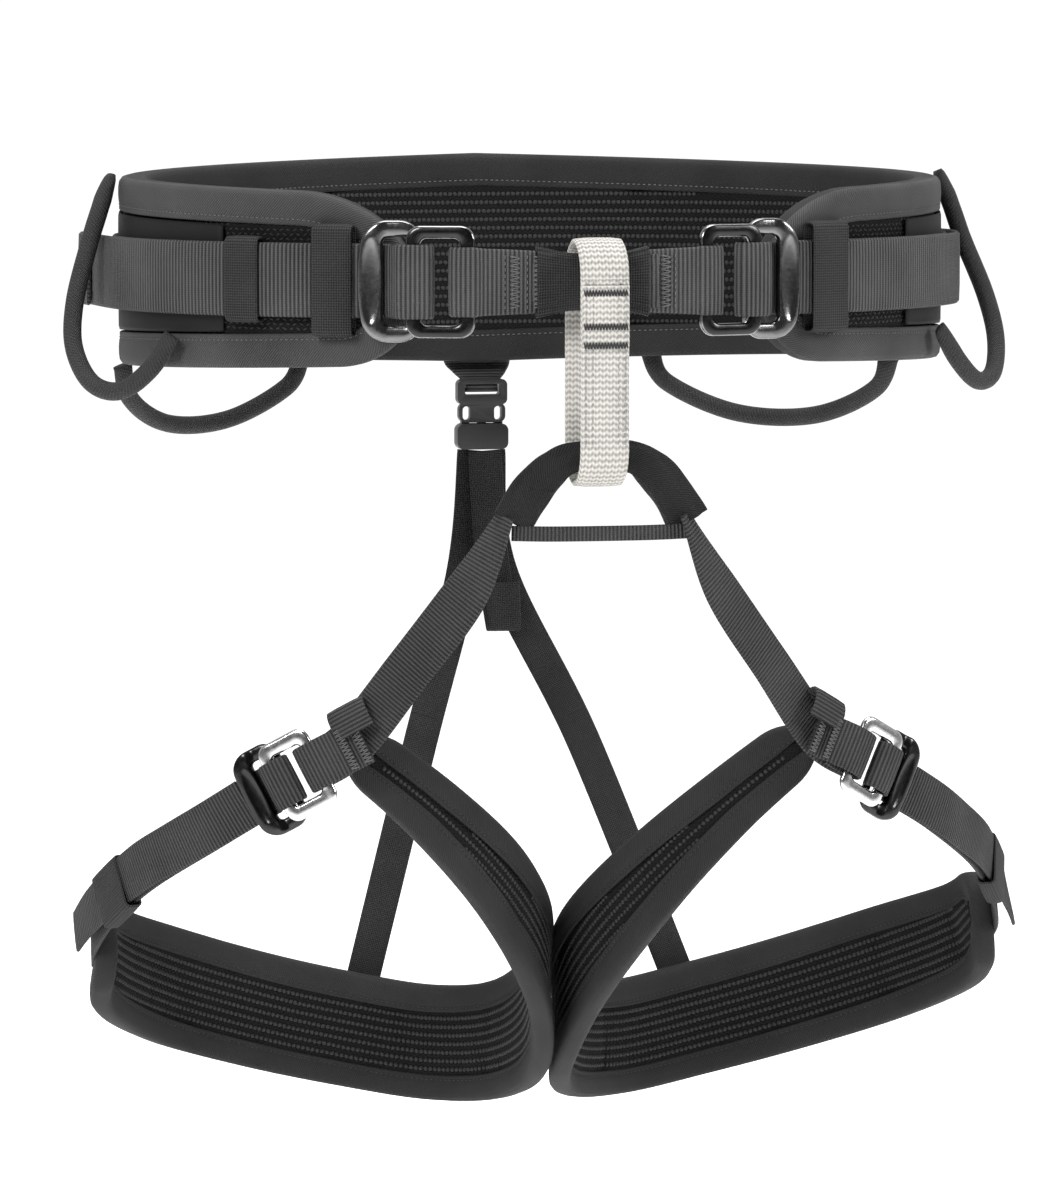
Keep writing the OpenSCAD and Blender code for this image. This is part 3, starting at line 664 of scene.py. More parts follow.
def plump(piece, voxel, cap, pressure=4.0, frames=20):
    """Swells the pad by at most cap (metres) and leaves a plain mesh."""
    remesh = piece.modifiers.new("even cells", "REMESH")
    remesh.mode, remesh.voxel_size = "VOXEL", voxel
    applied(piece)
    rest = np.array([v.co for v in piece.data.vertices])
    cloth = piece.modifiers.new("cloth", "CLOTH")
    cloth.settings.use_pressure = True
    cloth.settings.uniform_pressure_force = pressure
    cloth.settings.effector_weights.gravity = 0
    cloth.settings.quality = 5
    scene = bpy.context.scene
    for number in range(1, frames + 1):
        scene.frame_set(number)
    evaluated = piece.evaluated_get(bpy.context.evaluated_depsgraph_get())
    moved = np.array([v.co for v in evaluated.data.vertices])
    piece.modifiers.clear()
    scene.frame_set(1)
    step = moved - rest
    far = np.linalg.norm(step, axis=1, keepdims=True)
    step *= cap * np.tanh(far / cap) / np.maximum(far, 1e-9)
    piece.data.vertices.foreach_set("co", (rest + step).astype(np.float32).ravel())
    finer = piece.modifiers.new("finer", "SUBSURF")
    finer.levels = finer.render_levels = 1
    applied(piece)
    piece.data.shade_smooth()
    print(piece.name, len(piece.data.polygons), "faces after plumping")
    return piece


def lay_uv(piece, centre, width_dir, mirror=False):
    """A UV map in metres, along and across the path centre (millimetres), for a mesh that lost its own."""
    co = np.array([v.co for v in piece.data.vertices]) / MM
    if mirror:
        co = flip(co)
    s = run_length(centre)
    near = np.array([np.argmin(((centre - p) ** 2).sum(1)) for p in co])
    t = along(centre)
    d = co - centre[near]
    u = s[near] + (d * t[near]).sum(1)
    v = (d * width_dir[near]).sum(1)
    uv = np.stack([u, v], -1).astype(np.float32) * MM
    layer = piece.data.uv_layers.get("UVMap") or piece.data.uv_layers.new(name="UVMap")
    index = np.empty(len(piece.data.loops), np.int32)
    piece.data.loops.foreach_get("vertex_index", index)
    layer.data.foreach_set("uv", uv[index].ravel())


def resting(piece, points, outs, reach=9.0):
    """Each point moved along its outward direction onto the piece's surface."""
    tree = BVHTree.FromObject(piece, bpy.context.evaluated_depsgraph_get())
    moved = []
    for p, n in zip(points, outs):
        hit = tree.ray_cast(Vector((p + n * reach) * MM), Vector(-n), 2 * reach * MM)[0]
        moved.append(p if hit is None else np.array(hit) / MM)
    return np.array(moved)


print("full run, with simulation")

# %% [markdown]
# ## Waist padding
# On the real belt a slab of closed-cell foam is cut to shape, faced with knitted mesh on both sides and
# caught in the binding. It is drawn as one solid a little thinner than the foam and then plumped.

# %% Waist padding
def soft_ring(centre, a, b, half_a, half_b, power=0.4, points=28):
    """Rings of a rounded slab: half_a along directions a, half_b along directions b."""
    turn = np.arange(points) * 2 * np.pi / points
    ca, sa = np.cos(turn), np.sin(turn)
    ca, sa = np.sign(ca) * np.abs(ca) ** power, np.sign(sa) * np.abs(sa) ** power
    wide = lambda v: np.broadcast_to(np.asarray(v, float).reshape(-1), (len(centre),))[:, None, None]
    return centre[:, None] + wide(half_a) * ca[None, :, None] * a[:, None] \
        + wide(half_b) * sa[None, :, None] * b[:, None]


nose = [PAD_START + 3 + (NOSE_TOP - 3) * (1 - math.cos(math.radians(9 * k))) for k in range(1, 10)]
right_run = np.concatenate([nose, np.linspace(PAD_START + NOSE_TOP + 6, HALF, 60)])
belt_run = np.concatenate([right_run, (2 * HALF - right_run)[-2::-1]])
high, low = (np.array([pad_edge(s, up) for s in belt_run]) for up in (True, False))
middle = belt_pt(belt_run, (high + low) / 2, 0)
upward = np.broadcast_to(np.array([0.0, 0, 1]), middle.shape)
rings = soft_ring(middle, out_at(belt_run), upward, 4.0, (high - low) / 2 - 1.2)
belt_pad = plump(ring_mesh("waist padding", rings), 0.0045, 0.0018)
belt_line = belt_pt(np.linspace(PAD_START, 2 * HALF - PAD_START, 400), 0, 0)
lay_uv(belt_pad, belt_line, np.broadcast_to([0.0, 0, 1], belt_line.shape))
finished(belt_pad, spacer_mesh, "waist_belt", "mesh", "belt_foam", "belt_lining", "belt_outer_panel")

# %% [markdown]
# ## The knit on the padding
# Spacer mesh is knitted in ridges that run round the waist, each ridge a row of small loops. The lining has
# coarse ridges for ventilation; the outer face is flatter, so its loops are shorter and lower.

# %% Mesh rows on the waist padding
def belt_rows(sign, pitch, every, clear, edge=13.4):
    """Loops of the knit: sign is 1 outside and -1 inside; clear keeps them off the waist webbing."""
    points, along_rows, outs = [], [], []
    for k in range(-24, 25):
        z = (k + 0.5) * pitch
        if abs(z) < clear:
            continue
        for i, s in enumerate(np.arange(PAD_START + 14, 2 * HALF - PAD_START - 14, every)):
            s += every / 2 * (k % 2)
            if pad_edge(s, False) + edge < z < pad_edge(s, True) - edge:
                tip = 1 if (i + k) % 2 else -1
                out = out_at(s) * sign
                way = unit(np.cross([0, 0, 1.0], out) + np.array([0, 0, 0.45]) * tip)
                points.append(belt_pt(s, z, 0))
                along_rows.append(way)
                outs.append(out)
    points, along_rows, outs = np.array(points), np.array(along_rows), np.array(outs)
    return resting(belt_pad, points, outs), along_rows, outs


inside = belt_rows(-1, 3.7, 2.2, 0)
grains("waist lining loops", *inside, (2.5, 2.1, 1.4), bead_yarn, "waist_belt", "mesh")
outside = belt_rows(1, 1.9, 2.9, 15.6)
grains("waist outer loops", *outside, (2.3, 0.9, 0.6), bead_yarn, "waist_belt", "mesh")
print(len(inside[0]), "loops inside,", len(outside[0]), "outside")

# %% [markdown]
# ## Binding
# A strip of twill is folded over the raw edge of the padding and sewn through both faces. The fold stands a
# little proud of the foam and the seam pulls the inner edge down, so the section is not flat.

# %% Binding helper
def even_closed(c, step, *others):
    wrapped = [np.vstack([v, v[:1]]) for v in (c, *others)]
    s = run_length(wrapped[0])
    at = np.linspace(0, s[-1], int(round(s[-1] / step)), endpoint=False)
    return [sample(at, s, v) for v in wrapped]


def channel(name, edge, out, wing, half, skin, mirror=False, step=2.6):
    """Binding folded over a closed edge. Returns it, the edge, the directions out and in, and its width."""
    wing = np.broadcast_to(np.asarray(wing, float).reshape(-1), (len(edge),))[:, None]
    edge, out, wing = even_closed(edge, step, out, wing)
    out = unit(out)
    inward = unit(np.cross(along(edge, closed=True), out))
    top = half + skin
    face = [(1, top - 0.75), (0.97, top - 0.2), (0.88, top - 0.12), (0.80, top - 0.42), (0.72, top),
            (0.5, top + 0.25), (0.25, top + 0.2), (0.06, top - 0.15), (-0.07, top - 1.3), (-0.11, top - 3.2)]
    lining = [(0.98, -half + 0.1), (0.02, -half + 0.1), (0.02, half - 0.1), (0.98, half - 0.1)]
    section = face + [(d, -r) for d, r in face[::-1]] + lining
    rings = np.stack([edge + d * wing * inward + r * out for d, r in section[::-1]], 1)
    return ring_mesh(name, rings, closed=True, mirror=mirror), edge, out, inward, wing


def two_tone(piece, section, face, other, rows):
    """Gives some rows of a closed piece's section their own finish."""
    piece.data.materials.clear()
    piece.data.materials.append(face)
    piece.data.materials.append(other)
    for polygon in piece.data.polygons:
        polygon.material_index = 1 if polygon.index % section in rows else 0


def seam(edge, out, inward, depth, lift, pitch, mirror=False):
    """Stitches on both faces of a binding, depth in from its edge and lift out from the middle."""
    lines = []
    for sign in (1, -1):
        c, o = even_closed(edge + depth * inward + sign * lift * out, pitch, sign * out)
        t = along(c, closed=True)
        lines.append([flip(v) if mirror else v for v in (c, t, unit(o))])
    return join_lines(lines)


fine_nose = [PAD_START + NOSE_TOP * (1 - math.cos(math.radians(3 * k))) for k in [0.5, *range(1, 30)]]
half_outline = np.concatenate([fine_nose, np.linspace(PAD_START + NOSE_TOP, HALF, 120)])
full = np.concatenate([half_outline, (2 * HALF - half_outline)[-2::-1]])
tops = [(s, pad_edge(s, True)) for s in full]
lows = [(s, pad_edge(s, False)) for s in full[::-1]]
outline = np.array(tops + lows)
belt_edge = belt_pt(outline[:, 0], outline[:, 1], 0)
binding, edge, out, inward, wing = channel("waist binding", belt_edge, out_at(outline[:, 0]), 12.6, HALF_PAD, 1.2)
finished(binding, binding_cloth, "waist_belt", "binding", "belt_binding")
# The rows of the binding's inside face, towards the wearer, take the darker twill: painted shade.
BINDING_SECTION, SHADED_INNER_ROWS = 24, set(range(4, 14))
two_tone(binding, BINDING_SECTION, binding_cloth, inner_binding_shade_cloth, SHADED_INNER_ROWS)
grains("waist binding stitches", *seam(edge, out, inward, 10.1, HALF_PAD + 1.0, 2.3), (1.7, 0.55, 0.5),
       thread_grey, "waist_belt", "binding")
print(len(edge), "stations round the belt's edge")

# %% [markdown]
# ## Side patches
# Coated cloth is sewn over the mesh where the gear loops rub. It follows the belt under the webbing.

# %% Side patches
PATCH_LONG, PATCH_START, UNDER_BINDING = 106, 152, 13.4
for side, start in (("right", PATCH_START), ("left", 2 * HALF - PATCH_START - PATCH_LONG)):
    at = np.linspace(start, start + PATCH_LONG, 30)
    tall = np.array([2 * (pad_half(s) - UNDER_BINDING) for s in at])
    patch = strap(side + " side patch", belt_pt(at, 0, HALF_PAD + 1.1), out_at(at), tall, 0.9, rib=0, step=3)
    finished(patch, patch_cloth, "waist_belt", "patch", side + "_side_patch")
print("side patches", PATCH_LONG, "mm long")

# %% [markdown]
# ## Waist webbing and its loose ends
# One length of 30 mm webbing goes round the back of the belt. Each end rises over the outer bar of the
# buckle's ring and turns back underneath; the loose end lies on top and is held by elastic keepers. The two
# ends are pulled to different lengths, so the strap across the front sits a little to the left.

# %% Waist webbing
SIDES = (("right", 1), ("left", -1))
ADJUSTER_S = {"right": 62.0, "left": 72.0}
WEB_R, TAIL_R, RING_R, FRAME_R = 8.2, 10.7, 15.6, 13.2
WEB_WIDE, WEB_THICK = 30, 2.0


def waist_strap(name, c, face, width, thick, *stands_for, rib=0.15, mirror=False):
    """A strap of the waist's ribbed webbing, sewn to the belt."""
    piece = strap(name, c, face, width, thick, rib=rib, pitch=1.8, mirror=mirror)
    return finished(piece, webbing_black, "waist_belt", "webbing", *stands_for)


over_bar = [[30, WEB_R], [20, WEB_R], [14, WEB_R + 0.6], [9, WEB_R + 3.6], [6.6, RING_R - 1],
            [4, RING_R + 3.6], [-1, RING_R + 4.6], [-6.4, RING_R + 3.4], [-8, RING_R - 0.4]]
bar_path = curve(over_bar, 8)[::-1]
right_end, left_end = (belt_pt(at + bar_path[:, 0], 0, bar_path[:, 1]) for at in ADJUSTER_S.values())
run = np.linspace(ADJUSTER_S["right"] + 31, 2 * HALF - ADJUSTER_S["left"] - 31, 220)
waist_path = np.vstack([right_end, belt_pt(run, 0, WEB_R), flip(left_end[::-1])])
plan_face = lambda c: np.cross([0, 0, -1.0], along(c))
waist_strap("waist webbing", waist_path, plan_face(waist_path), WEB_WIDE, WEB_THICK, "waist_webbing")


def belt_path(route, n):
    q = curve(route, n)
    return belt_pt(q[:, 0], q[:, 1], q[:, 2])


right_tail = belt_path([[ADJUSTER_S["right"] + 19, 0, TAIL_R], [130, 0, TAIL_R], [160, 0, TAIL_R],
                        [180, 0, TAIL_R + 0.6], [200, 0, TAIL_R + 2.4], [225, 0, TAIL_R + 3.2],
                        [246, 0, TAIL_R + 2]], 10)
left_tail = belt_path([[ADJUSTER_S["left"] + 19, 0, TAIL_R], [130, 0, TAIL_R], [160, 0, TAIL_R], [200, 0, TAIL_R],
                       [225, 0, TAIL_R + 1], [244, 0, TAIL_R + 5], [258, 0, TAIL_R + 11], [266, 0, TAIL_R + 14],
                       [267.5, 0, TAIL_R + 16], [264, 0, TAIL_R + 16], [258, 0, TAIL_R + 13.6],
                       [246, 0, TAIL_R + 8.4]], 10)
for side, c in (("right", right_tail), ("left", left_tail)):
    waist_strap(side + " waist tail", c, plan_face(c), WEB_WIDE, WEB_THICK, side + "_waist_tail",
                mirror=side == "left")
print("waist webbing", round(run_length(waist_path)[-1]), "mm long")

# %% [markdown]
# ## Elastic keepers
# A keeper is a tube of woven elastic squeezed flat round the webbing, so it is drawn as one closed band.

# %% Keepers
def band(name, path, outward, width, thick, mirror=False, swell=0.15):
    """A closed elastic band along path (millimetres), its outer side towards outward."""
    path, outward = even_closed(path, 0.8, outward)
    t = along(path, closed=True)
    m = square_to(outward, t)
    b = np.cross(t, m)
    steps = np.array([-1, -0.93, -0.5, 0, 0.5, 0.93, 1])
    top = np.array([0, 0.8, 1, 1, 1, 0.8, 0.0])
    across = np.concatenate([steps, steps[-2:0:-1]])
    tall = np.concatenate([top * (1 + swell * (1 - steps ** 2)), -top[-2:0:-1]])
    rings = path[:, None] + width / 2 * across[None, :, None] * b[:, None] \
        + thick / 2 * tall[None, :, None] * m[:, None]
    return ring_mesh(name, rings, closed=True, mirror=mirror)


def rounded_loop(half_a, low_b, high_b, corner):
    """Points (a, b) and outward directions of a rounded rectangle, anticlockwise."""
    points, ways = [], []
    for ca, cb, start in ((half_a - corner, high_b - corner, 0), (corner - half_a, high_b - corner, 90),
                          (corner - half_a, low_b + corner, 180), (half_a - corner, low_b + corner, 270)):
        for k in range(7):
            turn = math.radians(start + 15 * k)
            points.append((ca + corner * math.cos(turn), cb + corner * math.sin(turn)))
            ways.append((math.cos(turn), math.sin(turn)))
    return np.array(points), np.array(ways)


waist_keepers = (("right keeper", 99, 19, 22, False), ("left front keeper", 103, 17, 22, True),
                 ("left rear keeper", 140, 15.5, 16.8, True))
for name, at, width, half, mirror in waist_keepers:
    loop, way = rounded_loop(half, HALF_PAD + 1.5, TAIL_R + 2.2, 2.4)
    path = belt_pt(np.full(len(loop), float(at)), loop[:, 0], loop[:, 1])
    outward = way[:, :1] * [0, 0, 1.0] + way[:, 1:] * out_at(at)
    keeper = band(name, path, outward, width, 1.4, mirror)
    finished(keeper, elastic_cloth, "waist_belt", "elastic", name.replace(" ", "_"))
print(len(waist_keepers), "keepers on the waist webbing")

# %% [markdown]
# ## Tie-in strap and its sleeve
# The strap across the front carries the belay loop. It is two layers sewn together, narrowed in the middle
# where a woven tube protects it; squeezing a tube round a strap gives it lengthwise pleats.

# %% Tie-in strap
FRONT = -134.0
tie_route = curve([[-43, FRONT + 3, 0], [-34, FRONT + 1.5, 0], [-23, FRONT, 0], [0, FRONT, 0], [18, FRONT, 0],
                   [26, FRONT + 1.5, 0], [33, FRONT + 3, 0]], 8)
tie_wide = curve([26, 25, 22, 21, 22, 25, 26], 8)[:, 0]
forward = lambda c: np.broadcast_to([0, -1.0, 0], c.shape)
waist_strap("tie-in strap", tie_route, forward(tie_route), tie_wide, 4.4, "tie_in_strap")


def adjuster_axes(side):
    """The adjuster's middle on the belt, and its directions outboard, up and out from the belt."""
    out = out_at(ADJUSTER_S[side])
    return belt_pt(ADJUSTER_S[side], 0, 0), [np.array([-out[1], out[0], 0]), np.array([0, 0, 1.0]), out]


over_ring_bar = ((-29.5, 17.8), (-26, 19.7), (-22, 20.2), (-17.6, 19), (-16, 15.6))
end_wide = curve([25, 26, 27, 28, 28, 28, 28], 8)[:, 0]
for side, sign in SIDES:
    at, axes = adjuster_axes(side)
    loop = [at + u * axes[0] + r * axes[2] for u, r in over_ring_bar]
    loop_end = curve(np.vstack([[[22 - 5 * sign, FRONT - 0.6, 0], [31 - 5 * sign, FRONT - 0.2, 0]], loop]), 8)
    waist_strap(side + " tie-in end", loop_end, plan_face(loop_end), end_wide, 2.2, mirror=side == "left")


def pleated(name, c, out, wide, thick, pleats, depth, mirror=False):
    """A soft tube squeezed flat, with lengthwise pleats."""
    t = along(c)
    m = square_to(np.broadcast_to(np.asarray(out, float), c.shape), t)
    b = np.cross(t, m)
    s = run_length(c)
    turn = np.linspace(0, 2 * np.pi, 72, endpoint=False)
    ca = np.sign(np.cos(turn)) * np.abs(np.cos(turn)) ** 0.55
    sa = np.sign(np.sin(turn)) * np.abs(np.sin(turn)) ** 0.75
    rows = []
    for k in range(len(c)):
        deep = depth * (0.6 + 0.4 * math.sin(s[k] * 0.31 + 1))
        fold = deep * np.sin(pleats * turn + 0.9 * math.sin(s[k] * 0.13))
        rows.append(c[k] + np.outer((thick[k] / 2 + fold) * ca, m[k]) + np.outer((wide[k] / 2 + fold) * sa, b[k]))
    return ring_mesh(name, rows, mirror=mirror)


sleeve_path, sleeve_wide = even(curve([[-27, FRONT, 0], [-12, FRONT, 0], [7, FRONT, 0], [19, FRONT, 0]], 10), 0.9,
                                curve([28.5, 23, 23, 28], 10))
sleeve = pleated("tie-in sleeve", sleeve_path, (0, -1, 0), sleeve_wide[:, 0], np.full(len(sleeve_path), 7.0),
                 13, 0.42)
finished(sleeve, elastic_cloth, "waist_belt", "elastic", "tie_in_sleeve")
print("tie-in strap and sleeve")

# %% [markdown]
# ## Buckles
# Each adjuster is two pressed steel parts: a ring that carries both webbings and a frame behind it with a
# thumb bar. Pressed edges are rounded by tumbling, so the section is a soft rectangle and not a box.

# %% Buckle helper
def corner_path(w, h, r, x=0.0, per=10, straight=12):
    """A rounded rectangle centred on (x, 0), anticlockwise, with evenly matched points."""
    corners = [(w / 2 - r, h / 2 - r), (r - w / 2, h / 2 - r), (r - w / 2, r - h / 2), (w / 2 - r, r - h / 2)]
    quarters = []
    for k, middle in enumerate(corners):
        turn = np.radians(90 * k + 90 * np.arange(per + 1) / per)
        quarters.append(np.array(middle) + r * np.stack([np.cos(turn), np.sin(turn)], -1))
    share = (np.arange(1, straight) / straight)[:, None]
    points = []
    for k, quarter in enumerate(quarters):
        following = quarters[(k + 1) % 4][0]
        points += [quarter, quarter[-1] + (following - quarter[-1]) * share]
    return np.vstack(points) + [x, 0]


def buckle(name, outer, inner, thick, origin, axes, dish=None, swell=0.1, mirror=False):
    """A pressed ring between two rounded outlines. dish(x, y) lowers its outer face."""
    crown = [(0.09 + 0.82 * k / 12, 1 + swell * math.sin(math.pi * k / 12)) for k in range(1, 12)]
    top = [(0, 0.30), (0, 0.62), (0.03, 0.84), (0.09, 0.96), *crown,
           (0.91, 0.96), (0.97, 0.84), (1, 0.62), (1, 0.30)]
    bottom = [(0.94, 0.05), (0.85, 0.0), (0.15, 0.0), (0.06, 0.05)]
    rings = []
    for (ax, ay), (bx, by) in zip(outer, inner):
        ring = []
        for f, z in top + bottom:
            x, y = ax + f * (bx - ax), ay + f * (by - ay)
            fall = dish(x, y) if dish and z > 0.7 else 0.0
            ring.append(origin + x * axes[0] + y * axes[1] + (z * thick - fall) * axes[2])
        rings.append(ring)
    return ring_mesh(name, np.array(rings)[::-1], closed=True, mirror=mirror)


SECTION = 4 + 11 + 4 + 4
# The rows along a ring's outer and inner edges, which take the painted highlight.
HIGHLIGHT_RIM_ROWS = {0, 1, 2, 16, 17, 18}
ring_outer, ring_inner = corner_path(28, 45, 6), corner_path(16.5, 35, 3)
frame_outer, frame_inner = corner_path(23, 49, 9), corner_path(12, 36, 3, -1.9)
frame_outer[:, 0] += np.where(frame_outer[:, 0] > 0, 3.0 * (1 - (frame_outer[:, 1] / 24.5) ** 2), 0)


def thumb_bar(centre, half_x, half_y, deep, raised):
    """A thumb bar with a raised rim and a lens-shaped hollow."""
    def fall(x, y):
        lens = 1 - ((x - centre) / half_x) ** 2 - (y / half_y) ** 2
        return deep * min(max(lens, 0), 1) ** 0.5 - raised * max(min((x - centre + 6) / 3, 1), 0)
    return fall


for side, sign in SIDES:
    at, axes = adjuster_axes(side)
    plate = buckle(side + " waist ring", ring_outer, ring_inner, 2.8, at - 12 * axes[0] + RING_R * axes[2], axes,
                   mirror=sign < 0)
    finished(plate, black_steel, "waist_belt", "plate", side + "_waist_buckle_plate")
    # The ring's edge rows take the lighter metal as a painted highlight.
    two_tone(plate, SECTION, black_steel, rim_highlight_steel, HIGHLIGHT_RIM_ROWS)
    outer_frame = buckle(side + " waist frame", frame_outer, frame_inner, 3.0,
                         at + 7.5 * axes[0] + (FRAME_R - 1.5) * axes[2], axes,
                         dish=thumb_bar(9, 3.7, 17, 1.2, 0.9), mirror=sign < 0)
    finished(outer_frame, dark_steel, side + "_waist_frame", "frame", side + "_waist_buckle_frame")
print("waist buckles:", len(plate.data.polygons), "faces each ring")

# %% [markdown]
# ## Gear loops
# A gear loop is a plastic core in a woven sheath, bent to shape and sewn into the belt at both ends. The
# sheath is flattened and bartacked where it is sewn.

# %% Gear loops
front_gear = curve([[177.4, 5.2, 40], [179.8, 4.4, 34], [183, 3, 25], [188, 1, 10], [195, -8, -12],
                    [197, -18, -30], [192, -32, -44], [182, -44, -47], [171, -53, -38], [162, -56, -24]], 10)
rear_route = curve([[268, 0], [275, -14], [305, -27], [340, -27], [370, -14], [377, 0]], 10)
rear_gear = belt_pt(rear_route[:, 0], rear_route[:, 1] - pad_half(320) - 1, HALF_PAD + 5)
front_normal = curve([[1, -0.05, 0.1], [1, -0.1, 0.3], [0.9, -0.4, 0.3], [0.6, -0.7, 0.3], [0.5, -0.8, 0.3],
                      [0.5, -0.8, 0.3], [0.5, -0.8, 0.3], [0.5, -0.8, 0.3], [0.7, -0.7, 0.1], [0.85, -0.5, 0]], 10)
rear_normal = np.full((len(rear_gear), 3), (0.4, 0.8, 0.1))
for end, c, normal in (("front", front_gear, front_normal), ("rear", rear_gear, rear_normal)):
    for side in ("right", "left"):
        c2, normal2 = even(c, 1.6, normal)
        far = np.minimum(run_length(c2), run_length(c2)[::-1])
        pinch = np.clip(far / 11, 0, 1) ** 0.5
        loop = tube(f"{side} {end} gear loop", c2, normal2, 7.7 + 2.2 * (1 - pinch), 3.2 + 4.3 * pinch, 18,
                    mirror=side == "left")
        finished(loop, sheath, f"{side}_{end}_gear", "cord", f"{side}_{end}_gear_loop")
print("gear loops:", round(run_length(front_gear)[-1]), "mm front,", round(run_length(rear_gear)[-1]), "mm rear")

# %% [markdown]
# ## Belay loop
# The belay loop is one length of strong webbing wound into a ring and sewn through its overlap, so a fold
# line and bartacks show on the front strand.

# %% Belay loop
mid_r, top_a, bottom_b = 14.5, 17.5 - 16, -82.5 + 16
turns_up = np.radians(np.linspace(0, 180, 41))
ring_yz = np.concatenate([np.stack([-mid_r * np.cos(turns_up), top_a + mid_r * np.sin(turns_up)], -1),
                          np.stack([mid_r * np.cos(turns_up), bottom_b - mid_r * np.sin(turns_up)], -1)])
ring_path = np.stack([np.full(len(ring_yz), -2.0), FRONT + ring_yz[:, 0], ring_yz[:, 1]], -1)
ring_path, = even_closed(ring_path, 1.0)
ring_way = unit(np.cross(along(ring_path, closed=True), [1.0, 0, 0]))
if (ring_way[0] @ (ring_path[0] - ring_path.mean(0))) < 0:
    ring_way = -ring_way
belay = band("belay loop", ring_path, ring_way, 20, 3.0, swell=0.1)
finished(belay, belay_cloth, "belay", "belay", "belay_loop")
overlap = np.array([[-2, FRONT - 16.4, z] for z in np.linspace(-1, -25.4, 20)])
overlap_strap = strap("belay overlap", overlap, forward(overlap), 19.4, 1.2, rib=0)
finished(overlap_strap, belay_cloth, "belay", "belay")
lines = []
for x in (-10.2, -7.2, 3.2, 6.2):
    rows = np.array([[x, FRONT - 16.1, z] for z in np.linspace(0, -64, 30)])
    c, way, o = stitch_line(rows, forward(rows), 3.1)
    lines.append((c + o * np.where(c[:, 2:] > -25.4, 0.85, 0.0), way, o))
grains("belay stitches", *join_lines(lines), (2.1, 0.7, 0.6), thread_light, "belay", "belay")
print("belay loop", round(run_length(ring_path)[-1]), "mm round")

# %% [markdown]
# ## Leg loops: the route of the padding
# The leg loops hang from the belay loop and lean a little to one side, so the right and left loops are the
# same drawing with opposite lean. Every point is given for the right leg, and the left is its mirror.

# %% Leg routes
SWAY = 0.08


def leg_pts(points, side):
    p = np.array(points, float)
    p[:, 0] += side * SWAY * (p[:, 1] + 100)
    return p


def radial(p):
    return unit(np.stack([p[:, 0] - 100, p[:, 1], 0 * p[:, 0]], -1))


pad_route = [[190, 2, -276], [187, 34, -292], [160, 72, -309], [118, 90, -324], [78, 93, -334], [42, 80, -339],
             [16, 50, -334], [6, 8, -317], [10, -36, -286], [31, -74, -250], [62, -92, -217], [96, -98, -189]]
pad_wide = [38, 44, 48, 48, 48, 48, 48, 46, 41, 33, 26, 22]
HALF_LEG, LEG_END = 3.5, 17.0


def leg_frame(side, step):
    """Points, along, out, down and half width of the leg padding at even steps."""
    c, w = even(curve(leg_pts(pad_route, side), 12), 1.0, curve(pad_wide, 12))
    s = run_length(c)
    total = s[-1]
    ends = LEG_END * (1 - np.cos(np.radians(np.arange(1, 10) * 9 + 4)))
    straight = np.linspace(LEG_END, total - LEG_END, int(total / step))[1:-1]
    at = np.concatenate([ends, straight, (total - ends)[::-1]])
    p = sample(at, s, c)
    t = along(p)
    out = square_to(radial(p), t)
    half = sample(at, s, w)[:, 0] / 2 * round_in(np.minimum(at, total - at) + 0.3, LEG_END)
    return p, t, out, np.cross(t, out), half


print("leg padding:", round(run_length(curve(pad_route, 12))[-1]), "mm long")

# %% [markdown]
# ## Leg padding
# The same foam and mesh as the belt, thinner and cut as one curved strip. It is plumped the same way, and
# its knitted ridges run along the strip and stop where the strip narrows.

# %% Leg padding
leg_pads = {}
for name, side in SIDES:
    p, t, out, down, half = leg_frame(side, 5.0)
    keep = half > 5
    rings = soft_ring(p[keep], out[keep], down[keep], 2.7, half[keep] - 1.0)
    pad = ring_mesh(name + " leg pad", rings, mirror=side < 0)
    plump(pad, 0.0038, 0.0013)
    lay_uv(pad, p, down, mirror=side < 0)
    finished(pad, spacer_mesh, "leg_loops", "padding", name + "_leg_pad")
    leg_pads[name] = pad


def leg_rows(side, name, pitch=3.7, every=2.2):
    p, t, out, down, half = leg_frame(side, 1.0)
    s = run_length(p)
    at = np.arange(14, s[-1] - 14, every)
    p, half = sample(at, s, p), sample(at, s, half)[:, 0]
    t, out, down = (unit(sample(at, s, v)) for v in (t, out, down))
    points, ways, outs = [], [], []
    for row in range(-6, 7):
        for i in range(len(p)):
            v = row * pitch
            if abs(v) > half[i] - 10.6:
                continue
            for sign in (1, -1):
                tip = 1 if (i + row) % 2 else -1
                points.append(p[i] + v * down[i])
                outs.append(sign * out[i])
                ways.append(unit(t[i] + 0.5 * tip * down[i]))
    points, ways, outs = np.array(points), np.array(ways), np.array(outs)
    if side < 0:
        points, ways, outs = flip(points), flip(ways), flip(outs)
    return resting(leg_pads[name], points, outs, reach=7.0), ways, outs


for name, side in SIDES:
    rows = leg_rows(side, name)
    grains(name + " leg pad loops", *rows, (2.5, 2.1, 1.4), bead_yarn, "leg_loops", "padding")
print(len(rows[0]), "loops on a leg pad")

# %% [markdown]
# ## Leg binding
# Wide smooth binding, folded over the padding's edge like the belt's.

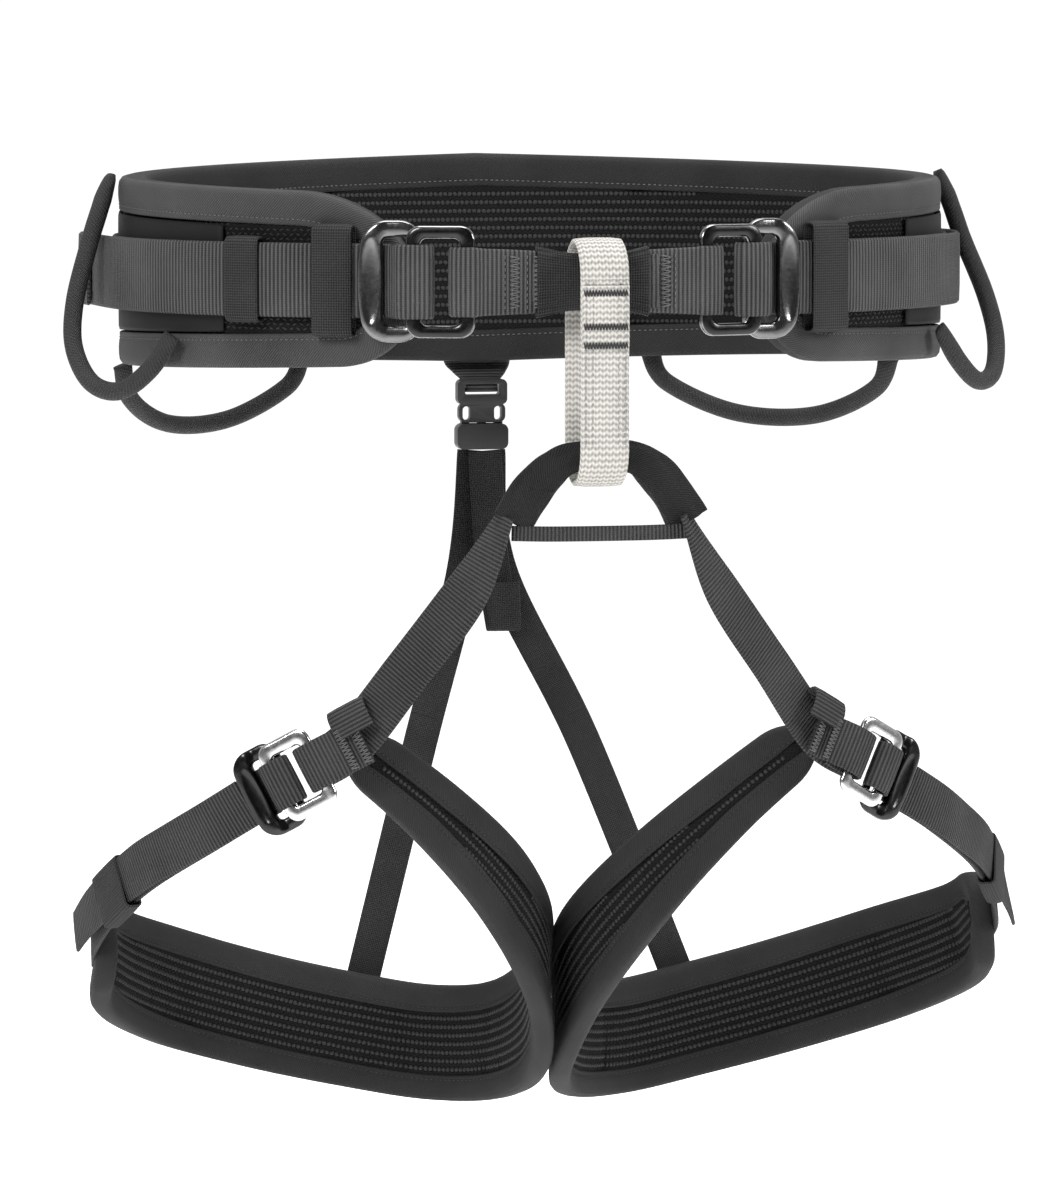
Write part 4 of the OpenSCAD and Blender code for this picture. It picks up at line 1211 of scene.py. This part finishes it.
# %% Leg binding
for name, side in SIDES:
    p, t, out, down, half = leg_frame(side, 3.0)
    edge = np.vstack([p - half[:, None] * down, (p + half[:, None] * down)[::-1]])
    faces = np.vstack([out, out[::-1]])
    wide = np.concatenate([half, half[::-1]])
    trim, edge, outs, inward, wing = channel(name + " leg binding", edge, faces, np.clip(wide * 0.8, 3, 10.4),
                                             HALF_LEG, 1.0, mirror=side < 0)
    finished(trim, leg_binding_cloth, "leg_loops", "binding", name + "_leg_binding")
    sewn = seam(edge, outs, inward, 0.8 * np.minimum(wing, 10.4), HALF_LEG + 0.85, 2.3, mirror=side < 0)
    grains(name + " leg binding stitches", *sewn, (1.6, 0.5, 0.4), thread_dark, "leg_loops", "binding")
print(len(edge), "stations round a leg pad's edge")

# %% [markdown]
# ## Leg webbing, buckles and keepers
# From the bridge a strap runs down to the leg buckle's ring. The adjusting strap comes up behind the frame,
# over the ring's outer bar and back, and its loose end is held by an elastic keeper.

# %% Leg webbing
buckle_at = np.array([123, -98, -203.5])
buckle_x = unit([22, 9.5, -13])
buckle_z = square_to(np.array([0.3, -0.95, 0.1]), buckle_x)
buckle_y = np.cross(buckle_z, buckle_x)
leg_axes = [buckle_x, buckle_y, buckle_z]
on_buckle = lambda q: buckle_at + np.array(q, float) @ np.array(leg_axes)
over_ring = on_buckle([[-6.2, 0, 6], [-5.8, 0, 8.8], [-3, 0, 10.4], [2, 0, 10.2], [5.2, 0, 7.6], [6, 0, 3.6],
                       [7.8, 0, 0.4], [13.7, 0, -0.4]])
adjust_route = [[152, -82, -222], [176, -50, -242], [189, -20, -260], [194.8, 1, -275], [194, 18, -284]]
tail_route = [[152, -82, -222], [165, -67, -232], [178, -48, -243], [189, -24, -257], [195.5, -8, -267],
              [200, 3, -276]]
front_route = [[37, -134, -94], [52, -131, -124], [76, -119, -158], [97, -107, -187], [112, -102.5, -197]]
front_faces = [[0.9, -0.4, 0.1], [0.6, -0.8, 0.15], [0.4, -0.9, 0.2], [0.3, -0.95, 0.15], [0.3, -0.95, 0.1]]
plate_fold = [[-38, 0, 3.4], [-32, 0, 4], [-26, 0, 8], [-20, 0, 10.4], [-13, 0, 9.8], [-10.4, 0, 6.4],
              [-12.4, 0, 3], [-19, 0, 1.6], [-26, 0, 2.2]]
leg_ring = corner_path(23, 34, 5), corner_path(13, 22, 2)
leg_outer = corner_path(20, 37, 7), corner_path(9.4, 26, 2, -2.2)
leg_outer[0][:, 0] += np.where(leg_outer[0][:, 0] > 0, 1.6 * (1 - (leg_outer[0][:, 1] / 18.5) ** 2), 0)
LEG_WEB_WIDE = 20
front_wide = curve([11, *[LEG_WEB_WIDE] * 4], 12)[:, 0]


def leg_strap(side, part, c, face, width, thick, *stands_for, rib=0.11):
    """A strap of the leg webbing on that side's leg loop."""
    piece = strap(f"{side} leg {part}", c, face, width, thick, rib=rib, pitch=1.6, mirror=side == "left")
    return finished(piece, webbing_leg, "leg_loops", "webbing", *stands_for)


for name, side in SIDES:
    m = side < 0
    c = curve(leg_pts(front_route, side), 12)
    leg_strap(name, "front strap", c, curve(front_faces, 12), front_wide, 2.0, name + "_leg_front_webbing")
    c = curve(on_buckle(plate_fold), 10)
    leg_strap(name, "ring fold", c, np.cross(buckle_y, along(c)), 19.4, 1.8, name + "_leg_plate_loop", rib=0.1)
    c = curve(np.vstack([over_ring, leg_pts(adjust_route, side)]), 10)
    off_ring = len(over_ring) * 10
    flat = np.clip((np.arange(len(c)) - off_ring + 22) / 22, 0, 1)[:, None]
    face = unit(np.cross(along(c), buckle_y) * (1 - flat) + radial(c) * flat)
    leg_strap(name, "adjusting strap", c, face, LEG_WEB_WIDE, 2.0, name + "_leg_adjust_webbing")
    c = leg_pts(tail_route, side)
    c = curve(np.vstack([on_buckle([[17.6, 0, 2]]), c + 2.4 * radial(c)]), 12)
    leg_strap(name, "strap tail", c, radial(c), LEG_WEB_WIDE, 1.8, name + "_leg_strap_tail")
    ring = buckle(name + " leg ring", *leg_ring, 2.4, buckle_at - 7.5 * buckle_x + 5.7 * buckle_z, leg_axes,
                  mirror=m)
    finished(ring, bright_steel, "leg_loops", "plate", name + "_leg_buckle_plate")
    outer_frame = buckle(name + " leg frame", *leg_outer, 2.6, buckle_at + 6 * buckle_x + 2.1 * buckle_z,
                         leg_axes, dish=thumb_bar(6.2, 2.6, 12, 0.8, 1.2), mirror=m)
    finished(outer_frame, black_steel, name + "_leg_frame", "frame", name + "_leg_buckle_frame")
    c = leg_pts([[181, -39, -248.6], [184, -33, -252.2], [188.2, -22.5, -258.6], [190.2, -17, -262]], side)
    way, mid = unit(c[3] - c[0]), (c[1] + c[2]) / 2
    out_dir = square_to(radial(mid[None])[0], way)
    mid = mid + 1.5 * out_dir
    across = np.cross(out_dir, way)
    loop, ways = rounded_loop(11.3, -3.4, 3.6, 1.8)
    path = mid + loop[:, :1] * across + loop[:, 1:] * out_dir
    keeper = band(name + " leg keeper", path, ways[:, :1] * across + ways[:, 1:] * out_dir, 24, 1.2, m)
    finished(keeper, elastic_cloth, "leg_loops", "elastic", name + "_leg_keeper")
    folded_end = [[-37, 4, 6.8], [-37, 11, 6.4], [-37, 15.4, 3.4], [-37, 14.4, -0.8], [-37, 9, -2.6]]
    c = on_buckle(curve(folded_end, 8))
    leg_strap(name, "junction fold", c, np.cross(along(c), buckle_x), 17, 2.0, rib=0.1)
print("leg straps and buckles")

# %% [markdown]
# ## Leg bridge
# The bridge joins the leg loops through the belay loop. It is webbing inside a soft woven sleeve, so it has
# long loose folds and its ends are gathered under the leg webbing.

# %% Leg bridge
bridge_half = [[36.4, -131.5, -97], [29.5, -132, -85.6], [21, -133, -76], [11, -134, -70.6]]
bridge = bridge_half + [[-x, y, z] for x, y, z in bridge_half[::-1]]
c, w = even(curve(bridge, 10), 0.9, curve([17, 16.5, 15, 12.4, 12.4, 15, 16.5, 17], 10))
bridge_sleeve = pleated("leg bridge sleeve", c, (0, -1, 0), w[:, 0], np.full(len(c), 6.4), 6, 0.6)
finished(bridge_sleeve, sleeve_cloth, "leg_loops", "patch", "leg_bridge")
c = curve([[-37, -134, -101], [-18, -134.5, -101.5], [18, -134.5, -101.5], [37, -134, -101]], 14)
thin = strap("leg bridge band", c, forward(c), 6.2, 1.8, rib=0.12, pitch=1.6)
finished(thin, webbing_leg, "leg_loops", "webbing", "leg_bridge_band")
print("leg bridge", round(run_length(curve(bridge, 10))[-1]), "mm long")

# %% [markdown]
# ## Rear buckle and risers
# Two elastic risers hold the leg loops up at the back and meet at a small plastic buckle. The upper half of
# each rides on the belt; the lower half runs down to the leg loops and is fixed where it lies.

# %% Risers and rear buckle
rear_top = -44 - 9 - 19.4 - 11.8
RISER_SPLIT, RISER_WIDE = -200, 15


def riser_route(side):
    low = leg_pts([[71, 98, -317]], side)[0]
    high = np.array([side * 2 + 3, 115, rear_top])
    c = curve([high, high + [5, -1, -52.4], high + (low - high) * 0.545 + [-4, 2, 0], low], 16)
    return c + [0, -side, 0]


for name, side in SIDES:
    c = riser_route(side)
    split = np.argmin(np.abs(c[:, 2] - RISER_SPLIT))
    face = np.broadcast_to([0, -1.0, 0], c.shape)
    upper = strap(name + " upper riser", c[:split + 1], face[:split + 1], RISER_WIDE, 1.5, rib=0.08, pitch=1.5,
                  mirror=side < 0)
    finished(upper, riser_cloth, "waist_belt", "elastic", name + "_upper_riser")
    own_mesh(upper)
    lower = strap(name + " lower riser", c[split:], face[split:], RISER_WIDE, 1.5, rib=0.08, pitch=1.5,
                  mirror=side < 0)
    lower.data.materials.append(riser_cloth)
    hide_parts(name + "_lower_riser")
    start, end = c[split] * MM, c[-1] * MM
    if side < 0:
        start, end = start * [-1, 1, 1], end * [-1, 1, 1]
    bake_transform(lower)
fold = [[1, -3, 0], [3, -6, -42], [7, -9, -73], [7.6, -11, -77.6], [7.4, -13, -73], [7, -12.4, -57]]
c = curve(np.array(fold) + [2, 115, rear_top], 12)
tail = strap("riser tail", c, np.cross(along(c), [1.0, 0, 0]), RISER_WIDE, 1.5, rib=0.08, pitch=1.5)
finished(tail, riser_cloth, "rear_socket", "elastic", "riser_tail")
c = curve([[2, 125.3, -24], [2, 125.3, -44], [2, 120, -50], [2, 115, -54.5], [2, 115, -58.5]], 10)
waist_strap("rear tab", c, np.broadcast_to([0, 1.0, 0], c.shape), curve([30, 30, 24, 15, 15], 10)[:, 0], 1.8,
            "rear_tab", rib=0.12)


def moulded(name, node, body, round_off):
    """The CAD solid with its coplanar faces joined and its edges rounded off, as a mould leaves them."""
    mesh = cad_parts[node].data.copy()
    work = bmesh.new()
    work.from_mesh(mesh)
    bmesh.ops.remove_doubles(work, verts=work.verts, dist=1e-6)
    bmesh.ops.dissolve_limit(work, angle_limit=math.radians(2), verts=work.verts, edges=work.edges)
    work.to_mesh(mesh)
    work.free()
    piece = placed(name.replace(" ", "_"), mesh)
    soften = piece.modifiers.new("round", "BEVEL")
    soften.width, soften.segments, soften.limit_method = round_off * MM, 3, "ANGLE"
    soften.angle_limit = math.radians(35)
    soften.use_clamp_overlap = True
    applied(piece)
    piece.data.shade_smooth()
    return finished(piece, plastic, body, "plastic", node)


moulded("rear buckle plug", "rear_buckle_plug", "waist_belt", 0.5)
moulded("rear buckle socket", "rear_buckle_socket", "rear_socket", 0.8)
print("risers meet the rear buckle at", round(rear_top, 1), "mm")

# %% [markdown]
# ## Bartacks
# A bartack is a dense block of zigzag stitches that locks two layers together. Each is drawn as a row of
# threads lying side by side across the strap.

# %% Bartacks
def bartack(centre, across, out, wide, mirror=False, gap=0.62):
    """Threads lying side by side over the distance wide."""
    across, out = unit(across), unit(out)
    lengthwise = np.cross(out, across)
    k = np.arange(-wide / 2, wide / 2 + 0.01, gap)
    lean = np.where(np.arange(len(k)) % 2, 0.18, -0.18)[:, None]
    ways = unit(lengthwise + lean * across)
    line = np.array(centre) + k[:, None] * across, ways, np.broadcast_to(out, ways.shape)
    return [flip(v) if mirror else v for v in line]


waist_tacks = [bartack((x, FRONT - (1.9 if abs(x) < 30 else 1.5), 0), (0, 0, 1), (0, -1, 0), 20, gap=0.95)
               for x in (-36, -26.5, 16.5, 26)]
grains("tie-in bartacks", *join_lines(waist_tacks), (5.0, 0.7, 0.8), thread_grey, "waist_belt", "webbing")
dashes = []
for x in (-40, -31, 21, 30):
    rows = np.array([[x, FRONT - (1.9 if abs(x) < 32 else 1.2), z] for z in np.linspace(-10, 10, 20)])
    dashes.append(stitch_line(rows, forward(rows), 2.4))
grains("tie-in stitches", *join_lines(dashes), (1.8, 0.6, 0.6), thread_grey, "waist_belt", "webbing")
belay_tacks = [bartack((-2, FRONT - 17.05, z), (1, 0, 0), (0, -1, 0), 17.5) for z in (-4, -17.5, -25)]
grains("belay bartacks", *join_lines(belay_tacks), (3.3, 0.75, 0.8), thread_dark, "belay", "belay")
for name, side in SIDES:
    m = side < 0
    tacks = []
    for x, z in ((-36.4, 5.6), (-30.4, 7.4)):
        centre = on_buckle([[x, 0, z]])[0]
        tacks.append(bartack(centre, buckle_y, buckle_z, 17, m, gap=0.8))
    grains(name + " leg bartacks", *join_lines(tacks), (4.4, 0.6, 0.8), thread_grey, "leg_loops", "webbing")
print(len(waist_tacks) + len(belay_tacks) + 2 * len(tacks), "bartacks")

# %% [markdown]
# ## Floor and light
# A pale room, brighter behind the harness than in front of it, with three soft lamps. The harness is dark, so
# two of the lamps stand well to the sides, where they catch the ribs of the webbing and the edges of metal.

# %% Floor and light
floor_mesh = bpy.data.meshes.new("floor")
FLOOR_Z, FLOOR_HALF, WHITE = -0.62, 6, (1, 1, 1, 1)
floor_corners = [(FLOOR_HALF * x, FLOOR_HALF * y, FLOOR_Z) for x, y in ((-1, -1), (1, -1), (1, 1), (-1, 1))]
floor_mesh.from_pydata(floor_corners, [], [(0, 1, 2, 3)])
floor = placed("floor", floor_mesh)
floor_finish = Finish("floor", Roughness=0.9, Base_Color=WHITE, Emission_Color=WHITE, Emission_Strength=0.4)
floor.data.materials.append(floor_finish.material)
floor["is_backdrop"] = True
world = bpy.data.worlds.new("room")
world.use_nodes = True
nodes, link = world.node_tree.nodes, world.node_tree.links.new
direction, split = nodes.new("ShaderNodeTexCoord"), nodes.new("ShaderNodeSeparateXYZ")
depth = nodes.new("ShaderNodeMapRange")
depth.interpolation_type = "SMOOTHSTEP"
for key, value in (("From Min", -0.75), ("From Max", 0.65), ("To Min", 0.16), ("To Max", 1.05)):
    depth.inputs[key].default_value = value
link(direction.outputs["Generated"], split.inputs["Vector"])
link(split.outputs["Y"], depth.inputs["Value"])
link(depth.outputs["Result"], nodes["Background"].inputs["Strength"])
nodes["Background"].inputs["Color"].default_value = WHITE
bpy.context.scene.world = world
bpy.context.scene.view_settings.view_transform = "Standard"
lamps = (("left lamp", (-1.7, -1.8, 1.2), 1.0, 105), ("right lamp", (2.1, -1.3, 0.9), 0.9, 70),
         ("top lamp", (0.1, 0.2, 2.0), 1.4, 80))
for name, place, size, power in lamps:
    lamp = bpy.data.lights.new(name, "AREA")
    lamp.energy, lamp.size = power, size
    holder = placed(name, lamp)
    holder.location = place
    holder.rotation_mode = "QUATERNION"
    holder.rotation_quaternion = (AIM - Vector(place)).to_track_quat("-Z", "Y")
print(len(lamps), "lamps")

# %% Size against the CAD
bpy.context.view_layer.update()
visual_box = [list(corner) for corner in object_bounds()]
for word, box in (("CAD", cad_box), ("visual", visual_box)):
    print(word, [round(v, 4) for v in box[0] + box[1]])
